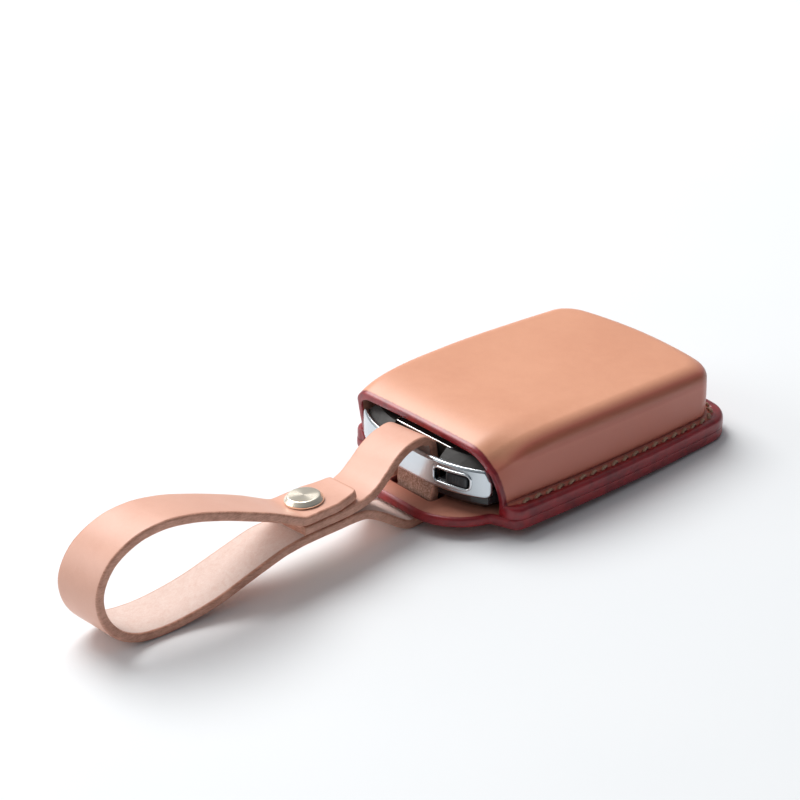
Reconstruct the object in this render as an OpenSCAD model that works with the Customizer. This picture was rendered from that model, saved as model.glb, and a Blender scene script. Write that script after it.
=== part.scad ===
// Leather key fob cover, with the key fob that it holds and its wrist strap.
// Wet-moulded top shell and flat base stitched round a flange, a slotted
// tongue under the open mouth, and one long strap that passes under the
// tongue, up through its slot, over the end bar of the fob and back to a
// screw post. Millimetres. The floor is z = 0, the mouth faces -Y.

/* [Cover] */
// Width over the stitched flange, at mid length
flange_w = 56; // [54:0.5:60]
// Length from the mouth to the far edge of the flange
flange_l = 72.5; // [70:0.5:76]
// Flange that stands out past the moulded wall
flange_lip = 3.4; // [3:0.05:4.2]
// Height of the moulded shell above the underside of the base
shell_h = 19.6; // [19:0.1:20.4]
// Thickness of the moulded shell leather
shell_t = 1.9; // [1.6:0.1:2.1]
// Thickness of the base leather and its tongue
base_t = 2.5; // [2.3:0.1:2.6]
// Thickness of the shell leather where it is pressed flat in the flange
flange_t = 2.8; // [2.4:0.1:3]
// Radius of the shoulder round the roof
shoulder_r = 4.0; // [3.4:0.1:4.6]
// How far the mouth leans forward at the roof
mouth_lean = 3; // [1:0.1:3.2]
// How far the tongue stands out of the mouth
tongue_l = 12.2; // [12:0.1:14]
// Leather skived off the underside of the tongue, over the strap
tongue_skive = 0.2; // [0.1:0.05:0.4]

/* [Strap] */
// Width of the strap
strap_w = 12.5; // [11:0.1:12.6]
// Thickness of the strap
strap_t = 2.1; // [1.8:0.05:2.1]
// Diameter of the screw post's cap
cap_d = 8.5; // [8:0.1:9]

/* [Stitching] */
// Distance from hole to hole
stitch_pitch = 3.3; // [3:0.05:3.6]
// Diameter of the waxed thread
thread_d = 0.7; // [0.6:0.05:0.8]

/* [Key fob] */
// Thickness of the fob
fob_t = 11.7; // [11.5:0.1:11.8]
// Width of the fob at mid length
fob_w = 42.8; // [42.4:0.1:43]
// Travel of the buttons
button_travel = 0.4; // [0.2:0.05:0.45]
// Travel of the release slider
slider_travel = 2.6; // [2:0.1:2.8]

/* [Hidden] */
$fn = 48;

// ---- everything is drawn from the middle of the mouth, then moved so that
// the origin is under the middle of the whole object ----
shift_y = 9;
module on_floor() { translate([0, shift_y, 0]) children(); }
// the cover stands on the strap at the mouth, so it tips up a little
tilt = 1.65;
module cover_frame() {
  on_floor() translate([0, flange_l, 0]) rotate([-tilt, 0, 0]) translate([0, -flange_l, 0]) children();
}

// ---- outlines ----
// sides bow outwards, the far end bows outwards, far corners are round
side_bow = 1.2;
end_bow = 2.0;
// the moulded wall draws in more at the mouth than the flange, and less at the
// far end, which bows more
shell_near = 1.5;
shell_far = 0.6;
shell_bow = 3.0;
function bowed(p, w, l, sb, eb, sf) =
  [p[0] * (1 - (p[1] < l / 2 ? sb : sf) * pow(2 * p[1] / l - 1, 2) * 2 / w),
   p[1] - eb * pow(p[0] / (w / 2), 2) * pow(max(0, min(1, p[1] / l)), 3)];
// right half from the mouth (y = y0) to the middle of the far end
function half_outline(w, l, r, y0, fr = 0, sb = side_bow, eb = end_bow, sf = side_bow) =
  let (h = w / 2)
  [ for (q = concat(
      fr > 0 ? [for (a = [-90:22.5:-22.5]) [h - fr + fr * cos(a), y0 + fr + fr * sin(a)]] : [],
      [for (i = [0:8]) [h, y0 + fr + (l - r - y0 - fr) * i / 8]],
      [for (a = [9:9:81]) [h - r + r * cos(a), l - r + r * sin(a)]],
      [for (i = [0:4]) [(h - r) * (1 - i / 4), l]]))
    bowed(q, w, l, sb, eb, sf)];
function mirrored(h) = concat(h, [for (i = [len(h) - 2:-1:0]) [-h[i][0], h[i][1]]]);
function full_outline(w, l, r, y0, fr = 0, sb = side_bow, eb = end_bow, sf = side_bow) = mirrored(half_outline(w, l, r, y0, fr, sb, eb, sf));

shell_w = flange_w - 2 * flange_lip;
shell_l = flange_l - flange_lip;
flange_top = base_t + flange_t;

// ---- moulded shell ----
// Levels run up the wall, round the shoulder and in over the roof to a ridge.
roof_drop_mouth = 2.1;
roof_drop_far = 1.8;
function drop(x, y, w, l) =
  roof_drop_mouth * exp(-max(y, -3) / 5) * (0.8 + 0.2 * pow(x / (w / 2), 2)) + roof_drop_far * pow(max(y, 0) / l, 2);
// the drop pulls the shoulder and the wall down with the roof, less and less towards the flange
function share(z, h) = max(0, (z - flange_top) / (h - flange_top));
// the right side is pressed rounder at the mouth, and less and less away from it
function pressed(p, w, l, h) =
  let (u = max(p[0] - 14, 0) / (w / 2 - shell_near - 14), v = max(p[2] - 4, 0) / (h - drop(0, p[1], w, l) - 4),
       fade = 1 / (1 + pow((max(p[1], -2.3) + 2.3) / 9, 2)),
       k = p[0] <= 14 ? 1 : pow(pow(u, 12) + pow(v, 12), 1 / 12) / pow(pow(u, 2.5) + pow(v, 2.5), 1 / 2.5))
  p[0] <= 14 ? p : p + fade * (k - 1) * [p[0] - 14, 0, max(p[2] - 4, 0)];
shoulder_steps = 6;
function blob_rings(w, l, r, h, rt, z0, y0) =
  let (lv = concat([[0, z0], [-0.12, 9.5]], [for (k = [0:shoulder_steps]) let (a = 90 * k / shoulder_steps) [rt * (1 - cos(a)), h - rt * (1 - sin(a))]]))
  concat(
    [for (v = lv) [for (p = full_outline(w - 2 * v[0], l - v[0], max(r - 0.4 * v[0], 0.8), y0, 0, shell_near, shell_bow, shell_far)) pressed([p[0], p[1], v[1] - share(v[1], h) * drop(p[0], p[1], w, l)], w, l, h)]],
    let (o = full_outline(w - 2 * rt, l - rt, max(r - 0.4 * rt, 0.8), y0, 0, shell_near, shell_bow, shell_far))
    [for (m = [0.34, 0.67, 1]) [for (p = o) let (q = [p[0] * (1 - m), p[1] + (max(y0, min(p[1], l - w * 0.42)) - p[1]) * m]) pressed([q[0], q[1], h - drop(q[0], q[1], w, l)], w, l, h)]]);
module blob(w, l, r, h, rt, z0, y0) {
  rg = blob_rings(w, l, r, h, rt, z0, y0);
  n = len(rg[0]);
  m = len(rg);
  half = floor(n / 2);
  polyhedron(
    points = [for (g = rg) for (p = g) p],
    faces = concat(
      [[for (i = [0:n - 1]) i]],
      [for (k = [0:m - 2]) for (i = [0:n - 2]) for (f = [[k * n + i, (k + 1) * n + i, k * n + i + 1], [k * n + i + 1, (k + 1) * n + i, (k + 1) * n + i + 1]]) f],
      [concat([for (k = [0:m - 1]) k * n + n - 1], [for (k = [m - 1:-1:0]) k * n])],
      [for (i = [0:half - 1]) for (f = [[(m - 1) * n + i, (m - 1) * n + n - 1 - i, (m - 1) * n + i + 1], [(m - 1) * n + i + 1, (m - 1) * n + n - 1 - i, (m - 1) * n + n - 2 - i]]) if (f[0] != f[1] && f[1] != f[2] && f[0] != f[2]) f]));
}
module mouth_cut() {
  rotate([90, 0, 90]) translate([0, 0, -60])
    linear_extrude(120) polygon([[0, -5], [0, flange_top], [-mouth_lean * (30 - flange_top) / (shell_h - flange_top), 30], [-40, 30], [-40, -5]]);
}
module molded_shell() color([0.86, 0.60, 0.46]) cover_frame()
  difference() {
    union() {
      blob(shell_w, shell_l, 5.5, shell_h, shoulder_r, base_t, -8);
      translate([0, 0, base_t]) linear_extrude(flange_t) polygon(full_outline(flange_w, flange_l, 7, 0, 3));
    }
    blob(shell_w - 2 * shell_t, shell_l - shell_t, 4, shell_h - shell_t, shoulder_r - shell_t + 1, -2, -14);
    mouth_cut();
  }

// ---- base with its tongue and slot ----
slot_x = 1.2;
tongue_arc_r = 13.6;
half_base = concat(
  [[0, -tongue_l]],
  [for (a = [-90:6:-12]) [7.5 + tongue_arc_r * cos(a), tongue_arc_r - tongue_l + tongue_arc_r * sin(a)]],
  [[21.9, -1.1], [23, -0.45], [24.2, -0.05]],
  half_outline(flange_w, flange_l, 7, 0, 2.6));
module base_panel() color([0.60, 0.24, 0.22]) cover_frame()
  difference() {
    linear_extrude(base_t) polygon(concat(half_base, [for (i = [len(half_base) - 2:-1:1]) [-half_base[i][0], half_base[i][1]]]));
    translate([slot_x - 6.6, -7.1, -1]) cube([13.2, 4.2, base_t + 2]);
    translate([-40, -41, -1]) cube([80, 40, 1 + tongue_skive]);
  }

// ---- stitching: a bar on top and one below for each stitch, joined through the holes ----
function cumulative(p, i = 0, s = 0) = i >= len(p) - 1 ? [s] : concat([s], cumulative(p, i + 1, s + norm(p[i + 1] - p[i])));
stitch_line = full_outline(shell_w + 2.4, shell_l + 1.2, 6.2, 0, 0, 1.35, 2.6, 0.9);
stitch_len = cumulative(stitch_line);
stitch_x = [for (i = [0:len(stitch_line) - 1]) [stitch_len[i], stitch_line[i][0]]];
stitch_y = [for (i = [0:len(stitch_line) - 1]) [stitch_len[i], stitch_line[i][1]]];
stitch_end = stitch_len[len(stitch_len) - 1];
stitch_n = floor((stitch_end - 6) / stitch_pitch);
stitch_s0 = (stitch_end - stitch_n * stitch_pitch) / 2;
function stitch_hole(i) = [lookup(stitch_s0 + i * stitch_pitch, stitch_x), lookup(stitch_s0 + i * stitch_pitch, stitch_y)];
// one stitch: thread down through two neighbouring holes, across on top and
// across underneath, drawn as a flat ring that stands across the flange
module stitch(p, q) {
  d = q - p;
  h = norm(d) / 2 - 0.09;
  translate([(p[0] + q[0]) / 2, (p[1] + q[1]) / 2, 0]) rotate([0, 0, atan2(d[1], d[0])]) rotate([90, 0, 0])
    linear_extrude(thread_d, center = true) difference() {
      polygon([[-h, 0.3], [-h + 0.2, 0.05], [h - 0.2, 0.05], [h, 0.3], [h, flange_top + 0.1], [h - 0.5, flange_top + 0.4], [-h + 0.5, flange_top + 0.4], [-h, flange_top + 0.1]]);
      translate([-h + 0.5, 0.6]) square([2 * h - 1, flange_top - 0.75]);
    }
}
module flange_stitching() color([0.55, 0.47, 0.40]) cover_frame()
  for (i = [0:stitch_n - 1]) stitch(stitch_hole(i), stitch_hole(i + 1));

// ---- strap: a flat band swept along a spline ----
// Each route point is x, y, z of the middle of the band, then how far the
// width direction leans towards +Y and towards +Z per unit of width.
route = [
  [2.6, -23, 14.8, 0, 0.08],
  [2.6, -26.6, 14.1, 0, 0.08],
  [2.5, -29.5, 13.7, 0, 0.07],
  [2.4, -33, 13.6, 0, 0.07],
  [2.3, -36.6, 13.6, 0, 0.07],
  [2.2, -40.6, 13.6, 0, 0.07],
  [2.1, -42.2, 13.95, 0, 0.07],
  [2.0, -44.5, 15.1, 0, 0.07],
  [1.6, -49, 17.4, 0, 0.07],
  [1.0, -54.5, 19.7, 0, 0.07],
  [0.4, -61, 22.2, 0.02, 0.07],
  [-0.4, -67.5, 24.1, 0.05, 0.06],
  [-1.2, -74, 24.8, 0.08, 0.06],
  [-2.0, -80.2, 23.6, 0.09, 0.07],
  [-2.6, -85.8, 20.1, 0.1, 0.07],
  [-2.9, -88.9, 14.6, 0.1, 0.05],
  [-2.9, -88.6, 9.0, 0.08, 0.03],
  [-2.7, -85.8, 4.4, 0.06, 0.02],
  [-2.4, -81.4, 1.8, 0.04, 0],
  [-1.9, -76, 1.1, 0.03, 0],
  [-1.2, -70, 1.6, 0.02, 0],
  [-0.3, -63, 3.1, 0.01, 0],
  [0.6, -55.5, 5.6, 0, 0.02],
  [1.5, -48, 8.1, 0, 0.05],
  [2.0, -44.5, 8.9, 0, 0.07],
  [2.2, -41.3, 9.2, 0, 0.07],
  [2.3, -37, 9.25, 0, 0.07],
  [2.4, -32.7, 9.25, 0, 0.07],
  [2.4, -29, 9.2, 0, 0.07],
  [2.3, -25.2, 8.7, 0, 0.06],
  [2.1, -21.6, 6.8, 0, 0.05],
  [1.9, -18.4, 4.6, 0, 0.04],
  [1.8, -15.6, 2.6, 0, 0.02],
  [1.7, -13, 1.3, 0, 0],
  [1.6, -10.4, 1.1, 0, 0],
  [1.5, -8.2, 1.1, 0, 0],
  [1.4, -6.4, 1.45, 0, 0],
  [1.4, -5.4, 2.8, -0.06, 0],
  [1.3, -4.85, 4.8, -0.09, 0],
  [0.8, -4.0, 7.0, -0.03, 0],
  [0.2, -3.65, 9.8, 0, 0],
  [-0.7, -3.4, 12.8, 0.01, 0.03],
  [-1.4, -3.4, 15.3, 0.02, 0.05],
  [-1.7, -5.2, 17, -0.01, 0.09],
  [-1.5, -8.4, 17, -0.02, 0.12],
  [-1.1, -11.3, 16.5, 0, 0.14],
  [-0.5, -14.2, 15.5, 0, 0.14],
  [0.2, -17.4, 13.8, 0, 0.13],
  [0.9, -20.6, 12.35, 0, 0.12],
  [1.7, -24.4, 11.6, 0, 0.09],
  [2.2, -28.4, 11.45, 0, 0.07],
  [2.4, -32.7, 11.45, 0, 0.07],
  [2.3, -37, 11.45, 0, 0.07],
  [2.2, -41.3, 11.45, 0, 0.07],
  [2.2, -42.2, 11.45, 0, 0.07]];
function spline(p, i, u) =
  let (n = len(p) - 1, a = p[max(i - 1, 0)], b = p[i], c = p[min(i + 1, n)], d = p[min(i + 2, n)])
  0.5 * (2 * b + (c - a) * u + (2 * a - 5 * b + 4 * c - d) * u * u + (3 * b - a - 3 * c + d) * u * u * u);
function slope(p, i, u) =
  let (n = len(p) - 1, a = p[max(i - 1, 0)], b = p[i], c = p[min(i + 1, n)], d = p[min(i + 2, n)])
  0.5 * ((c - a) + 2 * (2 * a - 5 * b + 4 * c - d) * u + 3 * (3 * b - a - 3 * c + d) * u * u);
function unit(v) = v / norm(v);
function xyz(q) = [q[0], q[1], q[2]];
function station(s) =
  let (i = min(floor(s), len(route) - 2), u = s - i, q = spline(route, i, u), t = unit(xyz(slope(route, i, u))),
       e0 = [1, q[3], q[4]], e = unit(e0 - (e0 * t) * t), n = cross(t, e))
  [xyz(q), e, n];
module band(s0, s1, steps) {
  st = [for (k = [0:steps]) station(s0 + (s1 - s0) * k / steps)];
  pts = [for (f = st) for (c = [[-1, 1], [-1, -1], [1, -1], [1, 1]]) f[0] + f[1] * c[0] * strap_w / 2 + f[2] * c[1] * strap_t / 2];
  polyhedron(points = pts, faces = concat(
    [[0, 1, 2, 3]],
    [for (k = [0:steps - 1]) for (c = [0:3]) for (f = [[4 * k + c, 4 * k + 4 + c, 4 * k + (c + 1) % 4], [4 * k + (c + 1) % 4, 4 * k + 4 + c, 4 * k + 4 + (c + 1) % 4]]) f],
    [[for (c = [3:-1:0]) 4 * steps + c]]));
}
post_x = 2.3;
post_y = -37;
post_z = 11.45;
// the stack at the post leans with the strap
post_roll = 4;
module on_post() { translate([post_x, post_y, post_z]) rotate([0, -post_roll, 0]) children(); }
module post_hole() { on_post() translate([0, 0, -6]) cylinder(r = 2.05, h = 12); }
// tapers the free end on top of the stack and rounds its two corners
module tip_taper() {
  on_post() translate([0, 0, 1.08]) linear_extrude(8) difference() {
    translate([-12, 3.2]) square([24, 12]);
    polygon([[-6.4, 3], [6.6, 3], [6.4, 4.4], [5.05, 9.4], [4.75, 10.1], [4.1, 10.6], [-3.5, 10.6], [-4.15, 10.1], [-4.45, 9.4], [-6.2, 4.4]]);
  }
}
// route positions at which the strap is divided, so that it can be lifted
cut_low = 32.7;
cut_high = 45.2;
module strap_loop() color([0.93, 0.70, 0.58]) on_floor()
  difference() {
    union() {
      difference() {
        band(1, cut_low, 96);
        tip_taper();
      }
      band(cut_high, len(route) - 1, 22);
    }
    post_hole();
  }
module strap_threaded_end() color([0.90, 0.66, 0.54]) on_floor() band(cut_low + 0.16, cut_high - 0.28, 36);

// ---- screw post and its screw, joining three thicknesses of strap ----
stack_half = 2.2 + strap_t / 2 + 0.06;
module screw_post() color([0.80, 0.72, 0.60]) on_floor() on_post()
  difference() {
    union() {
      translate([0, 0, stack_half]) rotate_extrude() polygon([[0, 0], [cap_d / 2 - 0.1, 0], [cap_d / 2, 0.12], [cap_d / 2, 0.6], [cap_d / 2 - 1.15, 1.35], [0, 1.35]]);
      translate([0, 0, 0.4 - stack_half]) cylinder(r = 2.0, h = 2 * stack_half);
    }
    translate([0, 0, -stack_half]) cylinder(r = 1.54, h = 5.6);
  }
module post_screw() color([0.76, 0.66, 0.50]) on_floor() on_post()
  difference() {
    union() {
      translate([0, 0, -stack_half]) mirror([0, 0, 1]) rotate_extrude() polygon([[0, 0], [3.9, 0], [4, 0.1], [4, 0.5], [3.3, 1.1], [0, 1.1]]);
      translate([0, 0, -stack_half - 0.2]) cylinder(r = 1.5, h = 5.2);
    }
    translate([-5, -0.45, -stack_half - 1.2]) cube([10, 0.9, 0.6]);
  }

// ---- key fob ----
fob_z0 = base_t + 0.1;
fob_z1 = fob_z0 + fob_t;
split_z = 8.0;
fob_l = 65.6;
bar_half = 20.6;
bar_front = -7.0;
bar_bow = 5.15;
bar_t = 1.2;
bezel_turn = 15.9;
bar_z0 = 6.3;
bar_z1 = 12.9;
board_z = 8.9;
board_pins = [-12, 5];
board_pin_y = 53;
function bar_y(x, off = 0) = bar_front + bar_bow * pow(abs(x) / bar_half, 3) + off;
// fob outline: front follows the back of the end bar
function fob_outline(inset) = concat(
  [for (i = [-6:6]) let (x = (bar_half - 1.0 - inset) * i / 6) [x, bar_y(x, bar_t + 0.15) + inset]],
  let (h = half_outline(fob_w - 2 * inset, fob_l - inset, 9 - inset, 3, 0, 1.1, 2.0, 1.1)) concat(h, [for (i = [len(h) - 2:-1:0]) [-h[i][0], h[i][1]]]));
module notch() { translate([-8.4, -12, -1]) cube([16.6, 9.7, 30]); }
module front_slope() { translate([0, -6.2, 12.9]) rotate([24, 0, 0]) translate([-40, -10, 0]) cube([80, 17.5, 20]); }
module slider_bay() { translate([12.7, bar_y(12.7), 9.6]) rotate([0, 0, bezel_turn]) translate([-4.1, 1.2, -1.95]) cube([10.6, 4.2, 3.9]); }
module fob_lower_housing() color([0.06, 0.06, 0.07]) cover_frame()
  difference() {
    hull() {
      translate([0, 0, fob_z0]) linear_extrude(0.2) polygon(fob_outline(2.2));
      translate([0, 0, fob_z0 + 1.8]) linear_extrude(split_z - fob_z0 - 2.1) polygon(fob_outline(0));
    }
    difference() {
      translate([0, 0, fob_z0 + 1.4]) linear_extrude(10) polygon(fob_outline(2.4));
      translate([-9.9, -12, 0]) cube([19.6, 12.1, 20]);
      for (x = board_pins) translate([x, board_pin_y, 0]) { cylinder(r = 1.9, h = board_z); cylinder(r = 1.05, h = board_z + 0.9); }
    }
    notch();
    slider_bay();
  }
module fob_upper_housing() color([0.03, 0.03, 0.04]) cover_frame()
  difference() {
    hull() {
      translate([0, 0, split_z + 0.3]) linear_extrude(fob_z1 - split_z - 2.3) polygon(fob_outline(0));
      translate([0, 0, fob_z1 - 0.2]) linear_extrude(0.2) polygon(fob_outline(2.4));
    }
    difference() {
      translate([0, 0, split_z - 1]) linear_extrude(fob_z1 - 1.3 - split_z + 1) polygon(fob_outline(2.4));
      translate([-9.9, -12, 0]) cube([19.6, 12.1, 20]);
    }
    front_slope();
    notch();
    slider_bay();
    trim_ring(0.35, 0.04);
    for (y = button_rows) button_solid(y, 0.32, 4);
  }
module housing_gasket() color([0.15, 0.15, 0.16]) cover_frame()
  translate([0, 0, split_z - 0.28]) linear_extrude(0.56) difference() {
    polygon(fob_outline(0.7));
    difference() { polygon(fob_outline(1.6)); translate([-9.2, -12]) square([18.2, 11.3]); }
    translate([-8.4, -12]) square([16.6, 9.7]);
    translate([12.7, bar_y(12.7)]) rotate([0, 0, bezel_turn]) translate([-4.1, 1]) square([10.6, 4.4]);
  }
// thin bright line round the button field on the upper face
trim_w = 18.6;
trim_y0 = -2.3;
trim_y1 = 50;
module trim_ring(deep, grow) {
  translate([0, 0, fob_z1 - deep]) linear_extrude(deep + 1) difference() {
    translate([-trim_w / 2 - grow, trim_y0 - grow]) square([trim_w + 2 * grow, trim_y1 - trim_y0 + 2 * grow]);
    translate([-trim_w / 2 + 0.5 + grow, trim_y0 + 0.5 + grow]) square([trim_w - 1 - 2 * grow, trim_y1 - trim_y0 - 1 - 2 * grow]);
  }
}
module fob_face_trim() color([0.80, 0.82, 0.84]) cover_frame()
  intersection() {
    trim_ring(0.35, 0);
    translate([-30, -20, 0]) cube([60, 100, fob_z1 + 0.05]);
  }
module bar_2d() {
  polygon(concat(
    [for (i = [-14:14]) let (x = bar_half * i / 14) [x, bar_y(x)]],
    [for (i = [14:-1:-14]) let (x = bar_half * i / 14) [x, bar_y(x, bar_t)]]));
}
module bezel_plug(grow) {
  translate([12.7, bar_y(12.7), 9.6]) rotate([0, 0, bezel_turn]) translate([-5.0 - grow, -0.55, -2.35 - grow]) cube([10 + 2 * grow, 2.6 + grow, 4.7 + 2 * grow]);
}
module fob_end_bar() color([0.80, 0.82, 0.84]) cover_frame()
  difference() {
    translate([0, 0, bar_z0]) linear_extrude(bar_z1 - bar_z0) bar_2d();
    bezel_plug(0.03);
    for (s = [-1, 1]) rotate([90, 0, 0]) linear_extrude(20, center = true)
      polygon([[s * (bar_half + 0.1), 8.4], [s * (bar_half - 1.6), 13], [s * 25, 13], [s * 25, 8.4]]);
  }
module bezel_window(d) { translate([12.7, bar_y(12.7), 9.6]) rotate([0, 0, bezel_turn]) translate([-4.3, -3, -1.5]) cube([8.6, d, 3.0]); }
module slider_bezel() color([0.62, 0.64, 0.67]) cover_frame()
  difference() {
    intersection() {
      bezel_plug(0);
      translate([0, 0, bar_z0 - 2]) linear_extrude(12) polygon(concat(
        [for (i = [0:8]) let (x = 5 + 15 * i / 8) [x, bar_y(x, -0.55)]],
        [for (i = [8:-1:0]) let (x = 5 + 15 * i / 8) [x, bar_y(x, bar_t)]]));
    }
    bezel_window(8);
  }
module release_slider() color([0.05, 0.05, 0.06]) cover_frame()
  translate([12.7, bar_y(12.7), 9.6]) rotate([0, 0, bezel_turn]) union() {
    translate([-1.2, -0.2, -1.18]) cube([5.2, 2.8, 2.36]);
    translate([-0.8, 2.4, -1.6]) cube([4.4, 1.1, 3.2]);
    translate([-0.4, 3.4, -0.6]) cube([1.4, 1.2, 1.2]);
  }
module slider_spring() color([0.70, 0.72, 0.74]) cover_frame()
  translate([12.7, bar_y(12.7), 9.6]) rotate([0, 0, bezel_turn]) translate([4.1, 3.75, 0]) rotate([0, 90, 0]) for (k = [0:4])
    translate([0, 0, 0.25 + k * 0.5]) rotate_extrude($fn = 24) translate([0.8, 0]) circle(d = 0.24, $fn = 13);
module emergency_blade() color([0.72, 0.73, 0.75]) cover_frame() {
  difference() {
    translate([10.6, 4, fob_z0 + 1.4]) cube([6, 50, 2.2]);
    for (k = [0:6]) translate([9.6, 18 + k * 4.6, 4]) rotate([0, 0, -45]) cube([1.1 + (k % 3) * 0.4, 1.1 + (k % 3) * 0.4, 3]);
    translate([13.2, 24, 5.5]) cube([1, 31, 1]);
    translate([10, 5.5, 5.5]) cube([2.2, 2.2, 2]);
  }
}
module circuit_board() color([0.10, 0.32, 0.18]) cover_frame()
  difference() {
    translate([-15, 3, board_z]) cube([30, 54, 1]);
    translate([7.2, 2, 8]) cube([9, 5, 3]);
    for (x = board_pins) translate([x, board_pin_y, 8]) cylinder(r = 1.1, h = 3);
  }
button_rows = [10, 24, 38];
module button_solid(y, grow, deep) {
  translate([0, y, fob_z1 - deep]) linear_extrude(deep + 1) union() {
    translate([-6.5 - grow, -3 - grow]) square([13 + 2 * grow, 8 + 2 * grow]);
    translate([-5 - grow, -4.5 - grow]) square([10 + 2 * grow, 11 + 2 * grow]);
    for (x = [-5, 5]) for (v = [-3, 5]) translate([x, v]) circle(r = 1.5 + grow);
  }
}
module button(y) cover_frame() {
  intersection() { button_solid(y, 0, 1.9); translate([-20, -20, 0]) cube([40, 100, fob_z1]); }
}
module lock_button() color([0.10, 0.10, 0.11]) button(button_rows[0]);
module unlock_button() color([0.10, 0.10, 0.11]) button(button_rows[1]);
module boot_button() color([0.10, 0.10, 0.11]) button(button_rows[2]);
// frame under the roof that guides the buttons
module button_frame() color([0.22, 0.22, 0.24]) cover_frame()
  difference() {
    translate([-11.5, 4, fob_z1 - 1.8]) cube([23, 43, 0.5]);
    for (y = button_rows) translate([0, 0, -0.6]) button_solid(y, 0.35, 2.6);
  }
module tactile_switches() color([0.55, 0.56, 0.58]) cover_frame()
  for (y = button_rows) translate([0, y + 1, 9.9]) {
    translate([-2.25, -2.25, 0]) cube([4.5, 4.5, 1.1]);
    cylinder(r = 1.2, h = 1.8);
  }
module antenna_block() color([0.16, 0.16, 0.18]) cover_frame()
  translate([-12.5, 12, board_z - 2.9]) difference() {
    cube([9, 9, 2.9]);
    translate([1.2, 1.2, -1]) cube([6.6, 6.6, 1.6]);
  }
module coin_cell() color([0.78, 0.79, 0.80]) cover_frame()
  translate([-1.5, 40, fob_z0 + 1.4]) union() {
    cylinder(r = 10, h = 2.6);
    translate([0, 0, 2.6]) cylinder(r = 8.8, h = 0.6);
  }
module battery_clip() color([0.80, 0.74, 0.55]) cover_frame() {
  translate([-4, 30.2, 7.3]) cube([5, 20.6, 0.3]);
  translate([-4, 50.5, 7.3]) cube([5, 0.3, board_z - 7.3]);
}

molded_shell();
base_panel();
flange_stitching();
strap_threaded_end();
strap_loop();
screw_post();
post_screw();
fob_lower_housing();
fob_upper_housing();
housing_gasket();
fob_face_trim();
fob_end_bar();
slider_bezel();
release_slider();
slider_spring();
emergency_blade();
circuit_board();
tactile_switches();
button_frame();
lock_button();
unlock_button();
boot_button();
antenna_block();
coin_cell();
battery_clip();
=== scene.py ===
import math
import bpy
import bmesh
import numpy as np
from mathutils import Matrix, Vector, noise


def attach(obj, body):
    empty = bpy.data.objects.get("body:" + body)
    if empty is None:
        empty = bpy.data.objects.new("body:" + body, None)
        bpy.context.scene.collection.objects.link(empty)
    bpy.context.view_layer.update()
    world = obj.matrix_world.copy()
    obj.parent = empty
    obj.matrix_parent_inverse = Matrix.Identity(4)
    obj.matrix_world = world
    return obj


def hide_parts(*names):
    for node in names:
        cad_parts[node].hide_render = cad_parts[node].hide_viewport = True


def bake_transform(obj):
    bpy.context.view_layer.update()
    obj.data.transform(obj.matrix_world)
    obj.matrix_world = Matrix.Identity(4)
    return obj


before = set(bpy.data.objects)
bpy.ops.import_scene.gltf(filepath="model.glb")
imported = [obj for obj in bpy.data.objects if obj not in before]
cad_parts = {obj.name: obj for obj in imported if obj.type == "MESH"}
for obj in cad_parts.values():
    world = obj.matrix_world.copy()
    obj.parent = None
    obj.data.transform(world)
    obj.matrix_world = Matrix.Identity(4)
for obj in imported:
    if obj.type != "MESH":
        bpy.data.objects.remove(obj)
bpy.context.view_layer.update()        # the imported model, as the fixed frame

# ---------------------------------------------------------------------------
# Sizes in millimetres, the same as in part.scad
# ---------------------------------------------------------------------------
TILT = math.radians(1.65)
FLANGE_W, FLANGE_L, FLANGE_LIP = 56.0, 72.5, 3.4
SHELL_H, SHELL_T, BASE_T, FLANGE_T, SHOULDER_R = 19.6, 1.9, 2.5, 2.8, 4.0
MOUTH_LEAN, TONGUE_L = 3.0, 12.2
STRAP_W, STRAP_T = 12.5, 2.1
SHELL_W, SHELL_L = FLANGE_W - 2 * FLANGE_LIP, FLANGE_L - FLANGE_LIP
FLANGE_TOP = BASE_T + FLANGE_T
SHIFT_Y = 9.0
SLOT_X = 1.2
POST = (2.3, -37.0, 11.45)
POST_ROLL = 4.0


def on_floor(p):
    """Millimetres in the floor's frame to metres in the shared frame."""
    p = np.atleast_2d(np.asarray(p, float))
    return (p + [0, SHIFT_Y, 0]) * 0.001


def on_case(p):
    """Millimetres in the cover's own, slightly tipped frame to metres."""
    p = np.atleast_2d(np.asarray(p, float))
    y, z = p[:, 1] - FLANGE_L, p[:, 2]
    c, s = math.cos(TILT), math.sin(TILT)
    return np.stack([p[:, 0], FLANGE_L + y * c + z * s + SHIFT_Y, -y * s + z * c], 1) * 0.001


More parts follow.
